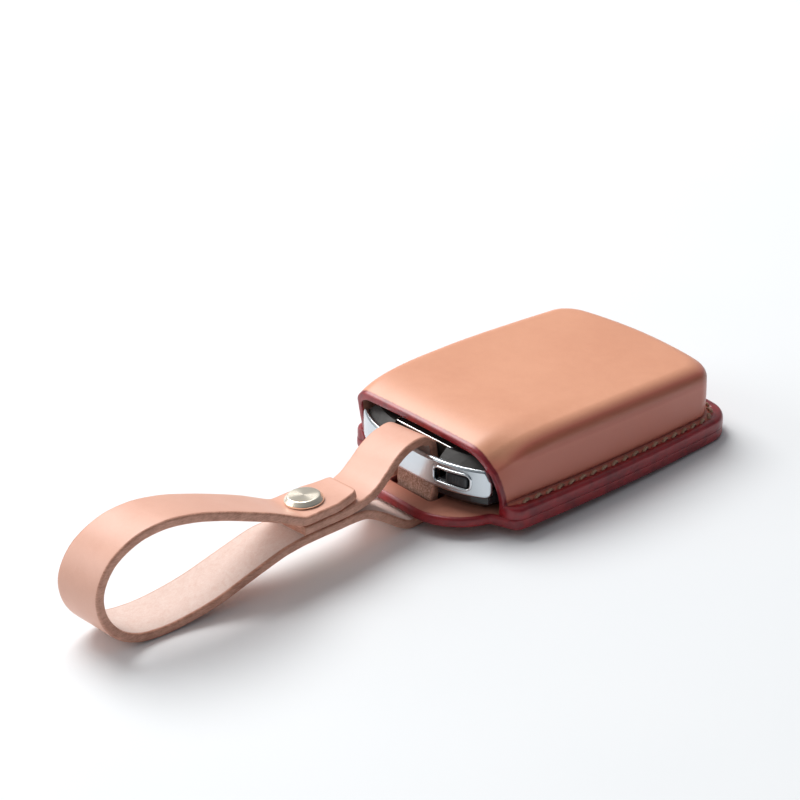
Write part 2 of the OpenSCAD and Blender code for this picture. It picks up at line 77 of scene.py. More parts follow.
# ---------------------------------------------------------------------------
# Mesh helpers
# ---------------------------------------------------------------------------
class Build:
    """Collects vertices with float attributes, and faces with a material slot."""

    def __init__(self):
        self.v, self.f, self.m, self.a, self.n = [], [], [], {}, 0

    def add(self, p, **attrs):
        p = np.asarray(p, float).reshape(-1, 3)
        first = self.n
        self.v.append(p)
        for k in set(self.a) | set(attrs):
            self.a.setdefault(k, [np.zeros(first)] if first else [])
            val = attrs.get(k, 0.0)
            self.a[k].append(np.broadcast_to(np.asarray(val, float).reshape(-1), (len(p),)) if np.ndim(val) else np.full(len(p), float(val)))
        self.n += len(p)
        return first

    def face(self, ids, slot=0):
        self.f.append(tuple(int(i) for i in ids))
        self.m.append(slot)

    def grid(self, first, rows, cols, slot=0, wrap=False):
        last = cols if wrap else cols - 1
        for r in range(rows - 1):
            for c in range(last):
                d = (c + 1) % cols
                a = first + r * cols
                b = a + cols
                self.face((a + c, a + d, b + d, b + c), slot if not callable(slot) else slot(r, c))

    def object(self, name, materials, merge=None, flat=None):
        me = bpy.data.meshes.new(name)
        me.from_pydata(np.concatenate(self.v).tolist(), [], self.f)
        for k, parts in self.a.items():
            at = me.attributes.new(k, "FLOAT", "POINT")
            at.data.foreach_set("value", np.concatenate(parts).astype(np.float32))
        for m in materials:
            me.materials.append(m)
        me.polygons.foreach_set("material_index", self.m)
        me.polygons.foreach_set("use_smooth", [True] * len(self.f))
        bm = bmesh.new()
        bm.from_mesh(me)
        if merge:
            bmesh.ops.remove_doubles(bm, verts=bm.verts, dist=merge)
            bmesh.ops.dissolve_degenerate(bm, edges=bm.edges, dist=merge)
        bmesh.ops.recalc_face_normals(bm, faces=bm.faces)
        if flat is not None:
            for e in bm.edges:
                if len(e.link_faces) == 2 and e.calc_face_angle(0) > flat:
                    e.smooth = False
        bm.to_mesh(me)
        bm.free()
        ob = bpy.data.objects.new(name, me)
        bpy.context.scene.collection.objects.link(ob)
        return ob


def apply_modifiers(ob):
    dg = bpy.context.evaluated_depsgraph_get()
    me = bpy.data.meshes.new_from_object(ob.evaluated_get(dg))
    old = ob.data
    ob.modifiers.clear()
    ob.data = me
    bpy.data.meshes.remove(old)
    return ob


def smooth01(t):
    t = np.clip(t, 0, 1)
    return t * t * (3 - 2 * t)


def waves(p_mm, size, seed=0.0):
    """Slow, smooth, repeatable waviness for hand-made leather, about -1 to 1."""
    q = np.asarray(p_mm, float) / size
    return np.array([noise.noise(Vector((a + seed, b - seed, c + 2 * seed))) for a, b, c in q])


# ---------------------------------------------------------------------------
# Node helpers
# ---------------------------------------------------------------------------
class Mat:
    def __init__(self, name):
        self.m = bpy.data.materials.new(name)
        self.m.use_nodes = True
        self.t = self.m.node_tree
        self.t.nodes.clear()
        self.out = self.t.nodes.new("ShaderNodeOutputMaterial")
        self.b = self.t.nodes.new("ShaderNodeBsdfPrincipled")
        self.t.links.new(self.b.outputs[0], self.out.inputs[0])
        self.co = self.t.nodes.new("ShaderNodeTexCoord").outputs["Object"]

    def put(self, sock, val):
        if isinstance(val, bpy.types.NodeSocket):
            self.t.links.new(val, sock)
        elif isinstance(val, (tuple, list)) and len(val) == 3 and sock.type == "RGBA":
            sock.default_value = (*val, 1)
        else:
            sock.default_value = val

    def set(self, **kw):
        for k, v in kw.items():
            self.put(self.b.inputs[k.replace("_", " ")], v)
        return self

    def stretch(self, scale, rot=(0, 0, 0), co=None):
        n = self.t.nodes.new("ShaderNodeMapping")
        self.put(n.inputs["Vector"], co or self.co)
        n.inputs["Scale"].default_value = scale
        n.inputs["Rotation"].default_value = rot
        return n.outputs[0]

    def noise(self, scale, detail=3.0, rough=0.55, distort=0.0, co=None):
        n = self.t.nodes.new("ShaderNodeTexNoise")
        self.put(n.inputs["Vector"], co or self.co)
        n.inputs["Scale"].default_value = scale
        n.inputs["Detail"].default_value = detail
        n.inputs["Roughness"].default_value = rough
        n.inputs["Distortion"].default_value = distort
        return n.outputs["Fac"]

    def cells(self, scale, feature="F1", co=None, randomness=1.0):
        n = self.t.nodes.new("ShaderNodeTexVoronoi")
        n.feature = feature
        self.put(n.inputs["Vector"], co or self.co)
        n.inputs["Scale"].default_value = scale
        n.inputs["Randomness"].default_value = randomness
        return n.outputs["Distance"]

    def wave(self, scale, distort=2.0, direction="X", co=None, detail=2.0):
        n = self.t.nodes.new("ShaderNodeTexWave")
        n.bands_direction = direction
        self.put(n.inputs["Vector"], co or self.co)
        n.inputs["Scale"].default_value = scale
        n.inputs["Distortion"].default_value = distort
        n.inputs["Detail"].default_value = detail
        return n.outputs["Fac"]

    def attr(self, name):
        n = self.t.nodes.new("ShaderNodeAttribute")
        n.attribute_name = name
        return n.outputs["Fac"]

    def math(self, op, a, b=0.0, c=None, clamp=False):
        n = self.t.nodes.new("ShaderNodeMath")
        n.operation = op
        n.use_clamp = clamp
        self.put(n.inputs[0], a)
        self.put(n.inputs[1], b)
        if c is not None:
            self.put(n.inputs[2], c)
        return n.outputs[0]

    def range(self, x, a, b, c=0.0, d=1.0, smooth=True):
        n = self.t.nodes.new("ShaderNodeMapRange")
        n.interpolation_type = "SMOOTHSTEP" if smooth else "LINEAR"
        self.put(n.inputs["Value"], x)
        for k, v in (("From Min", a), ("From Max", b), ("To Min", c), ("To Max", d)):
            n.inputs[k].default_value = v
        return n.outputs[0]

    def mix(self, fac, a, b, mode="MIX"):
        n = self.t.nodes.new("ShaderNodeMix")
        n.data_type = "RGBA"
        n.blend_type = mode
        self.put(n.inputs[0], fac)
        self.put(n.inputs[6], a)
        self.put(n.inputs[7], b)
        return n.outputs[2]

    def ramp(self, fac, *stops):
        n = self.t.nodes.new("ShaderNodeValToRGB")
        e = n.color_ramp.elements
        while len(e) < len(stops):
            e.new(0.5)
        for el, (p, c) in zip(e, stops):
            el.position = p
            el.color = (*c, 1)
        self.put(n.inputs[0], fac)
        return n.outputs[0]

    def bump(self, height, distance, strength=1.0, normal=None):
        n = self.t.nodes.new("ShaderNodeBump")
        n.inputs["Strength"].default_value = strength
        n.inputs["Distance"].default_value = distance
        self.put(n.inputs["Height"], height)
        if normal is not None:
            self.put(n.inputs["Normal"], normal)
        return n.outputs[0]


def srgb(r, g, b):
    f = lambda v: v / 255 / 12.92 if v / 255 <= 0.04045 else ((v / 255 + 0.055) / 1.055) ** 2.4
    return (f(r), f(g), f(b))


def leather_grain(name, light, dark, paint=None, rough=0.36, coat=0.25, coat_rough=0.22, pore=1.0, edge=None, spec=0.5, painted_wall_shade=None, mottle=1.0):
    """Smooth vegetable-tanned grain side: mottled tan, fine pores, a few hairline
    creases, edge paint where the mesh says so (on the shell it also paints shade into the wall's crease), and, when
    asked, painted shade on the walls and shoulder."""
    m = Mat(name)
    big = m.noise(38, 3, 0.5)
    mid = m.noise(420, 4, 0.62, 0.4)
    fine = m.noise(2600, 3, 0.6)
    pores = m.cells(2300)
    pore_pit = m.range(pores, 0.0, 0.32, 1.0, 0.0)
    tone = m.math("MULTIPLY_ADD", big, 0.62, m.math("MULTIPLY_ADD", mid, 0.3, m.math("MULTIPLY", fine, 0.08)))
    col = m.mix(m.range(tone, 0.51 - 0.17 / mottle, 0.51 + 0.17 / mottle), dark, light)
    col = m.mix(m.math("MULTIPLY", pore_pit, 0.10 * pore), col, tuple(c * 0.45 for c in dark))
    streak = m.noise(90, 5, 0.7, 1.2, m.stretch((1.0, 0.22, 1.0)))
    col = m.mix(m.range(streak, 0.62, 0.78, 0.0, 0.16 * mottle), col, tuple(c * 0.72 for c in dark))
    r = m.math("MULTIPLY_ADD", mid, 0.16, rough - 0.08)
    r = m.math("MULTIPLY_ADD", m.range(m.noise(70, 3, 0.6), 0.35, 0.7), 0.07, r)
    crease = m.range(m.cells(620, "DISTANCE_TO_EDGE"), 0.0, 0.07, 0.0, 1.0)
    if edge:
        # burnished darkening towards the cut edges of a strap
        e = m.attr("rim")
        e = m.math("ADD", e, m.math("MULTIPLY_ADD", mid, 0.3, -0.15))
        col = m.mix(m.range(e, 0.35, 1.0, 0.0, 0.8), col, edge)
    if painted_wall_shade:
        # painted shade: the moulded walls are painted a deeper, redder brown that stands in for their shading
        col = m.mix(m.math("MULTIPLY", m.attr("rim"), 0.85), col, painted_wall_shade)
        # painted shade: darkest in a band round the shoulder, where the wall turns over
        col = m.mix(m.math("MULTIPLY", m.math("SUBTRACT", m.attr("rim"), 1.0), 0.8), col, srgb(168, 96, 62))
    if paint:
        p = m.attr("paint")
        ragged = m.math("ADD", p, m.math("MULTIPLY_ADD", m.noise(1500, 3, 0.7), 0.5, -0.25))
        wash = m.range(ragged, 0.08, 0.5, 0.0, 0.55)
        full = m.range(ragged, 0.42, 0.62)
        pv = m.mix(m.range(m.noise(260, 3, 0.6), 0.35, 0.7), paint[0], paint[1])
        worn = m.math("MULTIPLY", m.range(m.noise(900, 4, 0.75), 0.6, 0.75), 0.25)
        pv = m.mix(worn, pv, paint[2])
        col = m.mix(wash, col, pv)
        col = m.mix(full, col, pv)
        r = m.math("MULTIPLY_ADD", full, -0.12, r)
        coat = m.math("MULTIPLY_ADD", full, -0.08, coat)
    h = m.math("MULTIPLY_ADD", pore_pit, -0.6 * pore, m.math("MULTIPLY_ADD", mid, 0.8, m.math("MULTIPLY_ADD", fine, 0.5, m.math("MULTIPLY", crease, 0.22))))
    m.set(Base_Color=col, Roughness=r, Normal=m.bump(h, 0.00004, 0.55))
    m.set(Specular_IOR_Level=spec, Coat_Weight=coat, Coat_Roughness=coat_rough)
    return m.m


def leather_flesh(name, light, dark, rim=None, tab=None):
    """Suede-like flesh side: pale, matte and fibrous, darker brown towards its rims."""
    m = Mat(name)
    fibre = m.noise(1900, 6, 0.75, 1.6, m.stretch((1.0, 0.45, 1.0)))
    clump = m.noise(520, 4, 0.7, 0.8)
    fuzz = m.noise(5200, 3, 0.8)
    tone = m.math("MULTIPLY_ADD", fibre, 0.55, m.math("MULTIPLY_ADD", clump, 0.35, m.math("MULTIPLY", fuzz, 0.12)))
    col = m.mix(m.range(tone, 0.26, 0.74), dark, light)
    if tab:
        grit = m.math("MULTIPLY_ADD", m.noise(2300, 4, 0.8, 0.5), 0.7, m.math("MULTIPLY", m.noise(5200, 2, 0.7), 0.3))
        col = m.mix(m.attr("tab"), col, m.mix(m.range(grit, 0.42, 0.6), tab[0], tab[1]))
    if rim:
        e = m.math("ADD", m.attr("rim"), m.math("MULTIPLY_ADD", clump, 0.36, -0.18))
        col = m.mix(m.range(e, 0.35, 0.75, 0.0, 0.92), col, rim)
    h = m.math("MULTIPLY_ADD", fibre, 1.0, m.math("MULTIPLY_ADD", fuzz, 0.5, clump))
    m.set(Base_Color=col, Roughness=m.math("MULTIPLY_ADD", fibre, 0.15, 0.82), Normal=m.bump(h, 0.00012, 0.8))
    m.set(Specular_IOR_Level=0.25, Sheen_Weight=0.35, Sheen_Roughness=0.5)
    m.b.inputs["Sheen Tint"].default_value = (1.0, 0.9, 0.84, 1)
    return m.m


def cut_edge(name, light, dark, rough=0.42):
    """Burnished cut edge of a strap: fibres pressed flat along its length."""
    m = Mat(name)
    layers = m.noise(1500, 4, 0.7, 0.6, m.stretch((0.5, 0.5, 2.6)))
    blot = m.noise(260, 4, 0.65)
    fine = m.noise(4200, 2, 0.7)
    tone = m.math("MULTIPLY_ADD", layers, 0.5, m.math("MULTIPLY_ADD", blot, 0.42, m.math("MULTIPLY", fine, 0.1)))
    col = m.mix(m.range(tone, 0.36, 0.66), dark, light)
    h = m.math("MULTIPLY_ADD", layers, 1.0, m.math("MULTIPLY", fine, 0.5))
    m.set(Base_Color=col, Roughness=m.math("MULTIPLY_ADD", blot, 0.22, rough - 0.1), Normal=m.bump(h, 0.00005, 0.7))
    m.set(Specular_IOR_Level=0.5, Coat_Weight=0.15, Coat_Roughness=0.3)
    return m.m


def metal(name, color, tint, rough, scale=(40, 40, 900), scuff=0.05, aniso=0.0):
    m = Mat(name)
    brush = m.noise(60, 4, 0.6, 0.0, m.stretch(tuple(s / 10 for s in scale)))
    blot = m.noise(220, 4, 0.6)
    fine = m.noise(5000, 2, 0.6)
    col = m.mix(m.range(blot, 0.3, 0.75), color, tint)
    r = m.math("ADD", rough, m.math("MULTIPLY_ADD", brush, scuff, m.math("MULTIPLY_ADD", blot, scuff, -scuff)), clamp=True)
    m.set(Base_Color=col, Roughness=r, Metallic=1.0, Normal=m.bump(m.math("ADD", m.math("MULTIPLY", brush, 0.6), m.math("MULTIPLY", fine, 0.25)), 0.000004, 0.5))
    if aniso:
        m.set(Anisotropic=aniso)
        t = m.t.nodes.new("ShaderNodeTangent")
        t.direction_type = "RADIAL"
        t.axis = "Z"
        m.t.links.new(t.outputs[0], m.b.inputs["Tangent"])
    return m.m


def plastic(name, color, tint, rough=0.45, grain=2200, depth=0.00002, coat=0.0, spec=0.5):
    m = Mat(name)
    g = m.cells(grain)
    n1 = m.noise(grain * 0.5, 3, 0.6)
    blot = m.noise(120, 3, 0.55)
    col = m.mix(m.range(m.math("MULTIPLY_ADD", blot, 0.6, m.math("MULTIPLY", n1, 0.4)), 0.3, 0.7), color, tint)
    m.set(Base_Color=col, Roughness=m.math("MULTIPLY_ADD", blot, 0.16, rough - 0.08), Normal=m.bump(m.math("ADD", g, n1), depth, 0.5))
    m.set(Specular_IOR_Level=spec, Coat_Weight=coat, Coat_Roughness=0.2)
    return m.m


def board_material():
    """Green solder mask with etched tracks under it and small tinned pads."""
    m = Mat("board_mask")
    tracks = m.range(m.wave(150, 3.5, "X", m.stretch((1, 1, 1), (0, 0, 0.5))), 0.62, 0.7)
    tracks2 = m.range(m.wave(120, 4.5, "Y"), 0.66, 0.73)
    both = m.math("MAXIMUM", tracks, tracks2)
    pads = m.range(m.cells(330), 0.10, 0.13, 1.0, 0.0)
    base = m.mix(m.range(m.noise(90, 3), 0.3, 0.7), srgb(14, 62, 36), srgb(22, 82, 48))
    col = m.mix(m.math("MULTIPLY", both, 0.5), base, srgb(58, 124, 76))
    col = m.mix(pads, col, srgb(196, 190, 172))
    m.set(Base_Color=col, Roughness=m.math("MULTIPLY_ADD", pads, -0.1, 0.36), Metallic=m.math("MULTIPLY", pads, 0.9),
          Normal=m.bump(m.math("ADD", both, pads), 0.00003, 0.6))
    m.set(Coat_Weight=0.3, Coat_Roughness=0.15)
    return m.m


def thread_material():
    m = Mat("waxed_thread")
    fib = m.noise(4200, 3, 0.7, 0.8)
    blot = m.noise(420, 3, 0.6)
    col = m.mix(m.range(m.math("MULTIPLY_ADD", fib, 0.6, m.math("MULTIPLY", blot, 0.4)), 0.3, 0.7), srgb(150, 114, 90), srgb(200, 164, 138))
    m.set(Base_Color=col, Roughness=m.math("MULTIPLY_ADD", fib, 0.2, 0.5), Normal=m.bump(fib, 0.00003, 0.7))
    m.set(Specular_IOR_Level=0.4, Sheen_Weight=0.2, Sheen_Roughness=0.4)
    return m.m


TAN_LIGHT, TAN_DARK = srgb(228, 163, 129), srgb(213, 144, 111)
PAINT = (srgb(156, 32, 40), srgb(120, 20, 32), srgb(180, 72, 66))
MAT_SHELL = leather_grain("tan_grain_shell", TAN_LIGHT, TAN_DARK, PAINT, rough=0.42, coat=0.3, coat_rough=0.36, spec=0.5, pore=0.5, painted_wall_shade=srgb(202, 110, 92), mottle=0.45)
MAT_SHELL_IN = leather_flesh("tan_flesh_inside", srgb(196, 142, 118), srgb(146, 96, 78))
MAT_BASE = leather_grain("tan_grain_base", srgb(214, 150, 128), srgb(190, 122, 102), PAINT, rough=0.42, coat=0.12, coat_rough=0.3, mottle=0.6)
MAT_STRAP = leather_grain("tan_grain_strap", srgb(229, 178, 157), srgb(218, 161, 138), None, rough=0.42, coat=0.1, coat_rough=0.3, edge=srgb(206, 144, 114), mottle=0.6)
MAT_STRAP_IN = leather_flesh("strap_flesh", srgb(238, 221, 213), srgb(220, 188, 175), rim=srgb(164, 114, 92), tab=(srgb(158, 112, 94), srgb(216, 176, 158)))
MAT_STRAP_EDGE = cut_edge("strap_cut_edge", srgb(226, 168, 144), srgb(182, 124, 102))
MAT_SLOT = cut_edge("slot_cut_edge", srgb(128, 58, 52), srgb(92, 34, 34))
MAT_CHROME = metal("chrome", (0.60, 0.65, 0.69), (0.56, 0.61, 0.65), 0.2, scuff=0.03)
MAT_TRIM = metal("polished_trim", (0.92, 0.93, 0.94), (0.88, 0.89, 0.90), 0.22, scuff=0.03)
MAT_BEZEL = metal("satin_chrome", (0.74, 0.77, 0.80), (0.68, 0.71, 0.74), 0.22, scuff=0.05)
MAT_CAP = metal("spun_champagne", (0.98, 0.90, 0.77), (0.92, 0.83, 0.69), 0.24, scuff=0.05, aniso=0.75)
MAT_SCREW = metal("turned_brass", (0.72, 0.60, 0.42), (0.62, 0.50, 0.34), 0.3, scuff=0.08)
MAT_STEEL = metal("blade_steel", (0.62, 0.63, 0.65), (0.52, 0.53, 0.55), 0.28, scale=(900, 40, 40), scuff=0.1)
MAT_TIN = metal("tinned_metal", (0.70, 0.70, 0.70), (0.60, 0.60, 0.61), 0.35, scuff=0.08)
MAT_GOLD = metal("spring_bronze", (0.72, 0.56, 0.34), (0.60, 0.46, 0.28), 0.3, scuff=0.08)
MAT_BLACK = plastic("gloss_black_plastic", (0.012, 0.012, 0.014), (0.02, 0.02, 0.022), 0.22, 2600, 0.000008, 0.3)
MAT_MATTE = plastic("grained_black_plastic", (0.015, 0.013, 0.012), (0.026, 0.022, 0.020), 0.5, 2200, 0.00003)
MAT_BUTTON = plastic("soft_black_rubber", (0.016, 0.016, 0.017), (0.03, 0.03, 0.031), 0.62, 1800, 0.00003)
MAT_SLIDER = plastic("slider_black_plastic", (0.018, 0.020, 0.024), (0.034, 0.038, 0.044), 0.3, 2600, 0.00001, 0.2)
MAT_GASKET = plastic("gasket_rubber", (0.03, 0.03, 0.032), (0.05, 0.05, 0.052), 0.7, 1500, 0.00003)
MAT_FERRITE = plastic("ferrite", (0.03, 0.03, 0.034), (0.07, 0.07, 0.074), 0.55, 3000, 0.00004)
MAT_FRAME = plastic("button_frame_plastic", (0.05, 0.05, 0.055), (0.08, 0.08, 0.086), 0.5, 2000, 0.00002)
MAT_BOARD = board_material()
MAT_THREAD = thread_material()

# ---------------------------------------------------------------------------
# Outlines shared by the shell and the base
# ---------------------------------------------------------------------------
SIDE_BOW, END_BOW = 1.2, 2.0
SHELL_BOWS, STITCH_BOWS = (1.5, 3.0, 0.6), (1.35, 2.6, 0.9)      # side at the mouth, far end, side at the far end
NEAR = np.array([0, 0.03, 0.08, 0.16, 0.27, 0.40, 0.55, 0.75, 1.0])
N_SIDE, N_ARC, N_END = 215, 26, 64


def bowed(x, y, w, l, sb=SIDE_BOW, eb=END_BOW, sf=SIDE_BOW):
    return x * (1 - np.where(np.asarray(y) < l / 2, sb, sf) * (2 * y / l - 1) ** 2 * 2 / w), y - eb * (x / (w / 2)) ** 2 * np.clip(y / l, 0, 1) ** 3


def side_y(length, y0):
    return np.concatenate([y0 + NEAR, y0 + 1.0 + (length - 1.0) * (np.arange(1, N_SIDE + 1) / N_SIDE)])


def half_outline(w, l, r, y0, fr=0.0, bows=(SIDE_BOW, END_BOW, SIDE_BOW)):
    """Right half from the mouth to the middle of the far end; always the same number of points."""
    h = w / 2
    ys = side_y(l - r - y0, y0)
    if fr > 0:
        run = ys - y0
        arc = math.pi / 2 * fr
        t = np.clip(run / arc, 0, 1) * math.pi / 2
        y_line = y0 + fr + (run - arc) * (l - r - y0 - fr) / (l - r - y0 - arc)
        sx = np.where(run < arc, h - fr + fr * np.sin(t), h)
        sy = np.where(run < arc, y0 + fr - fr * np.cos(t), y_line)
    else:
        sx, sy = np.full_like(ys, h), ys
    a = np.radians(90 * np.arange(1, N_ARC) / N_ARC)
    e = np.arange(0, N_END + 1) / N_END
    x = np.concatenate([sx, h - r + r * np.cos(a), (h - r) * (1 - e)])
    y = np.concatenate([sy, l - r + r * np.sin(a), np.full(N_END + 1, l)])
    return bowed(x, y, w, l, *bows)


def whole(x, y):
    return np.concatenate([x, -x[-2::-1]]), np.concatenate([y, y[-2::-1]])


def mouth_y(z):
    return np.where(z > FLANGE_TOP, -MOUTH_LEAN * (z - FLANGE_TOP) / (SHELL_H - FLANGE_TOP), 0.0)


def drop(x, y, w, l):
    return 2.1 * np.exp(-np.maximum(y, -3) / 5) * (0.8 + 0.2 * (x / (w / 2)) ** 2) + 1.8 * (np.maximum(y, 0) / l) ** 2


def share(z, h):
    return max(0.0, (z - FLANGE_TOP) / (h - FLANGE_TOP))


def pressed(p, w, l, h):
    """The right side is pressed rounder at the mouth, as in part.scad."""
    u = np.maximum(p[:, 0] - 14, 0) / (w / 2 - SHELL_BOWS[0] - 14)
    v = np.maximum(p[:, 2] - 4, 0) / (h - drop(0, p[:, 1], w, l) - 4)
    fade = 1 / (1 + ((np.maximum(p[:, 1], -2.3) + 2.3) / 9) ** 2)
    k = (u ** 6 + v ** 6 + 1e-12) ** (1 / 6) / (u ** 2.2 + v ** 2.2 + 1e-12) ** (1 / 2.2)
    k = np.where(p[:, 0] > 14, fade * (k - 1), 0)
    return p + np.stack([k * (p[:, 0] - 14), np.zeros(len(p)), k * np.maximum(p[:, 2] - 4, 0)], 1)


def blob_levels(w, l, r, h, rt, walls, n_sh, n_roof):
    """Levels up the wall, round the shoulder and over the roof to the ridge."""
    out = []

    def level(v, z1):
        kk = share(z1, h)
        y0 = -1.0
        for _ in range(6):
            x0 = float(bowed(w / 2 - v, y0, w - 2 * v, l - v, *SHELL_BOWS)[0])
            y0 = float(mouth_y(z1 - kk * drop(x0, y0, w, l)))
        x, y = whole(*half_outline(w - 2 * v, l - v, max(r - 0.4 * v, 0.8), y0, 0.0, SHELL_BOWS))
        out.append(np.stack([x, y, z1 - kk * drop(x, y, w, l)], 1))
        return x, y, y0

    for z in walls:
        level(-0.12 * math.sin(math.pi * min(1.0, max(0.0, (z - 3) / 12.6))), z)
    for k in range(1, n_sh + 1):
        a = math.pi / 2 * k / n_sh
        x, y, y0 = level(rt * (1 - math.cos(a)), h - rt * (1 - math.sin(a)))
    run = y - y0
    for m in 1 - (1 - np.arange(1, n_roof + 1) / n_roof) ** 1.0:
        qx = x * (1 - m)
        qy = y + (np.clip(y, y0, l - w * 0.42) - y) * m
        yy = y0
        for _ in range(6):
            yy = float(mouth_y(h - drop(qx[0], yy, w, l)))
        qy = qy + (yy - y0) * np.clip(1 - run / 14, 0, 1) ** 2
        out.append(np.stack([qx, qy, h - drop(qx, qy, w, l)], 1))
    # the pressed corner lowers its edge, so the cut there is drawn back to the mouth's slope
    done = []
    for p in out:
        q = pressed(p, w, l, h)
        near = np.clip(1 - (p[:, 1] - p[0, 1]) / 10, 0, 1) ** 2
        q[:, 1] += (mouth_y(q[:, 2]) - mouth_y(p[:, 2])) * near
        done.append(q)
    return done


def grid_normals(g, centre):
    du, dv = np.gradient(g, axis=0), np.gradient(g, axis=1)
    n = np.cross(du, dv)
    n /= np.maximum(np.linalg.norm(n, axis=2, keepdims=True), 1e-9)
    s = np.sign(((g - centre) * n).sum(2, keepdims=True))
    s[s == 0] = 1
    return n * s


# stitch holes, spaced along the same line as in part.scad
def coarse_outline(w, l, r, bows):
    h = w / 2
    p = [(h, (l - r) * i / 8) for i in range(9)]
    p += [(h - r + r * math.cos(math.radians(a)), l - r + r * math.sin(math.radians(a))) for a in range(9, 90, 9)]
    p += [((h - r) * (1 - i / 4), l) for i in range(5)]
    p = [tuple(float(c) for c in bowed(np.float64(x), np.float64(y), w, l, *bows)) for x, y in p]
    return np.array(p + [(-x, y) for x, y in p[-2::-1]])


LINE = coarse_outline(SHELL_W + 2.4, SHELL_L + 1.2, 6.2, STITCH_BOWS)
RUN = np.concatenate([[0], np.cumsum(np.linalg.norm(np.diff(LINE, axis=0), axis=1))])
PITCH = 3.3
N_ST = int((RUN[-1] - 6) // PITCH)
S0 = (RUN[-1] - N_ST * PITCH) / 2
HOLES = np.array([[np.interp(S0 + i * PITCH, RUN, LINE[:, 0]), np.interp(S0 + i * PITCH, RUN, LINE[:, 1])] for i in range(N_ST + 1)])


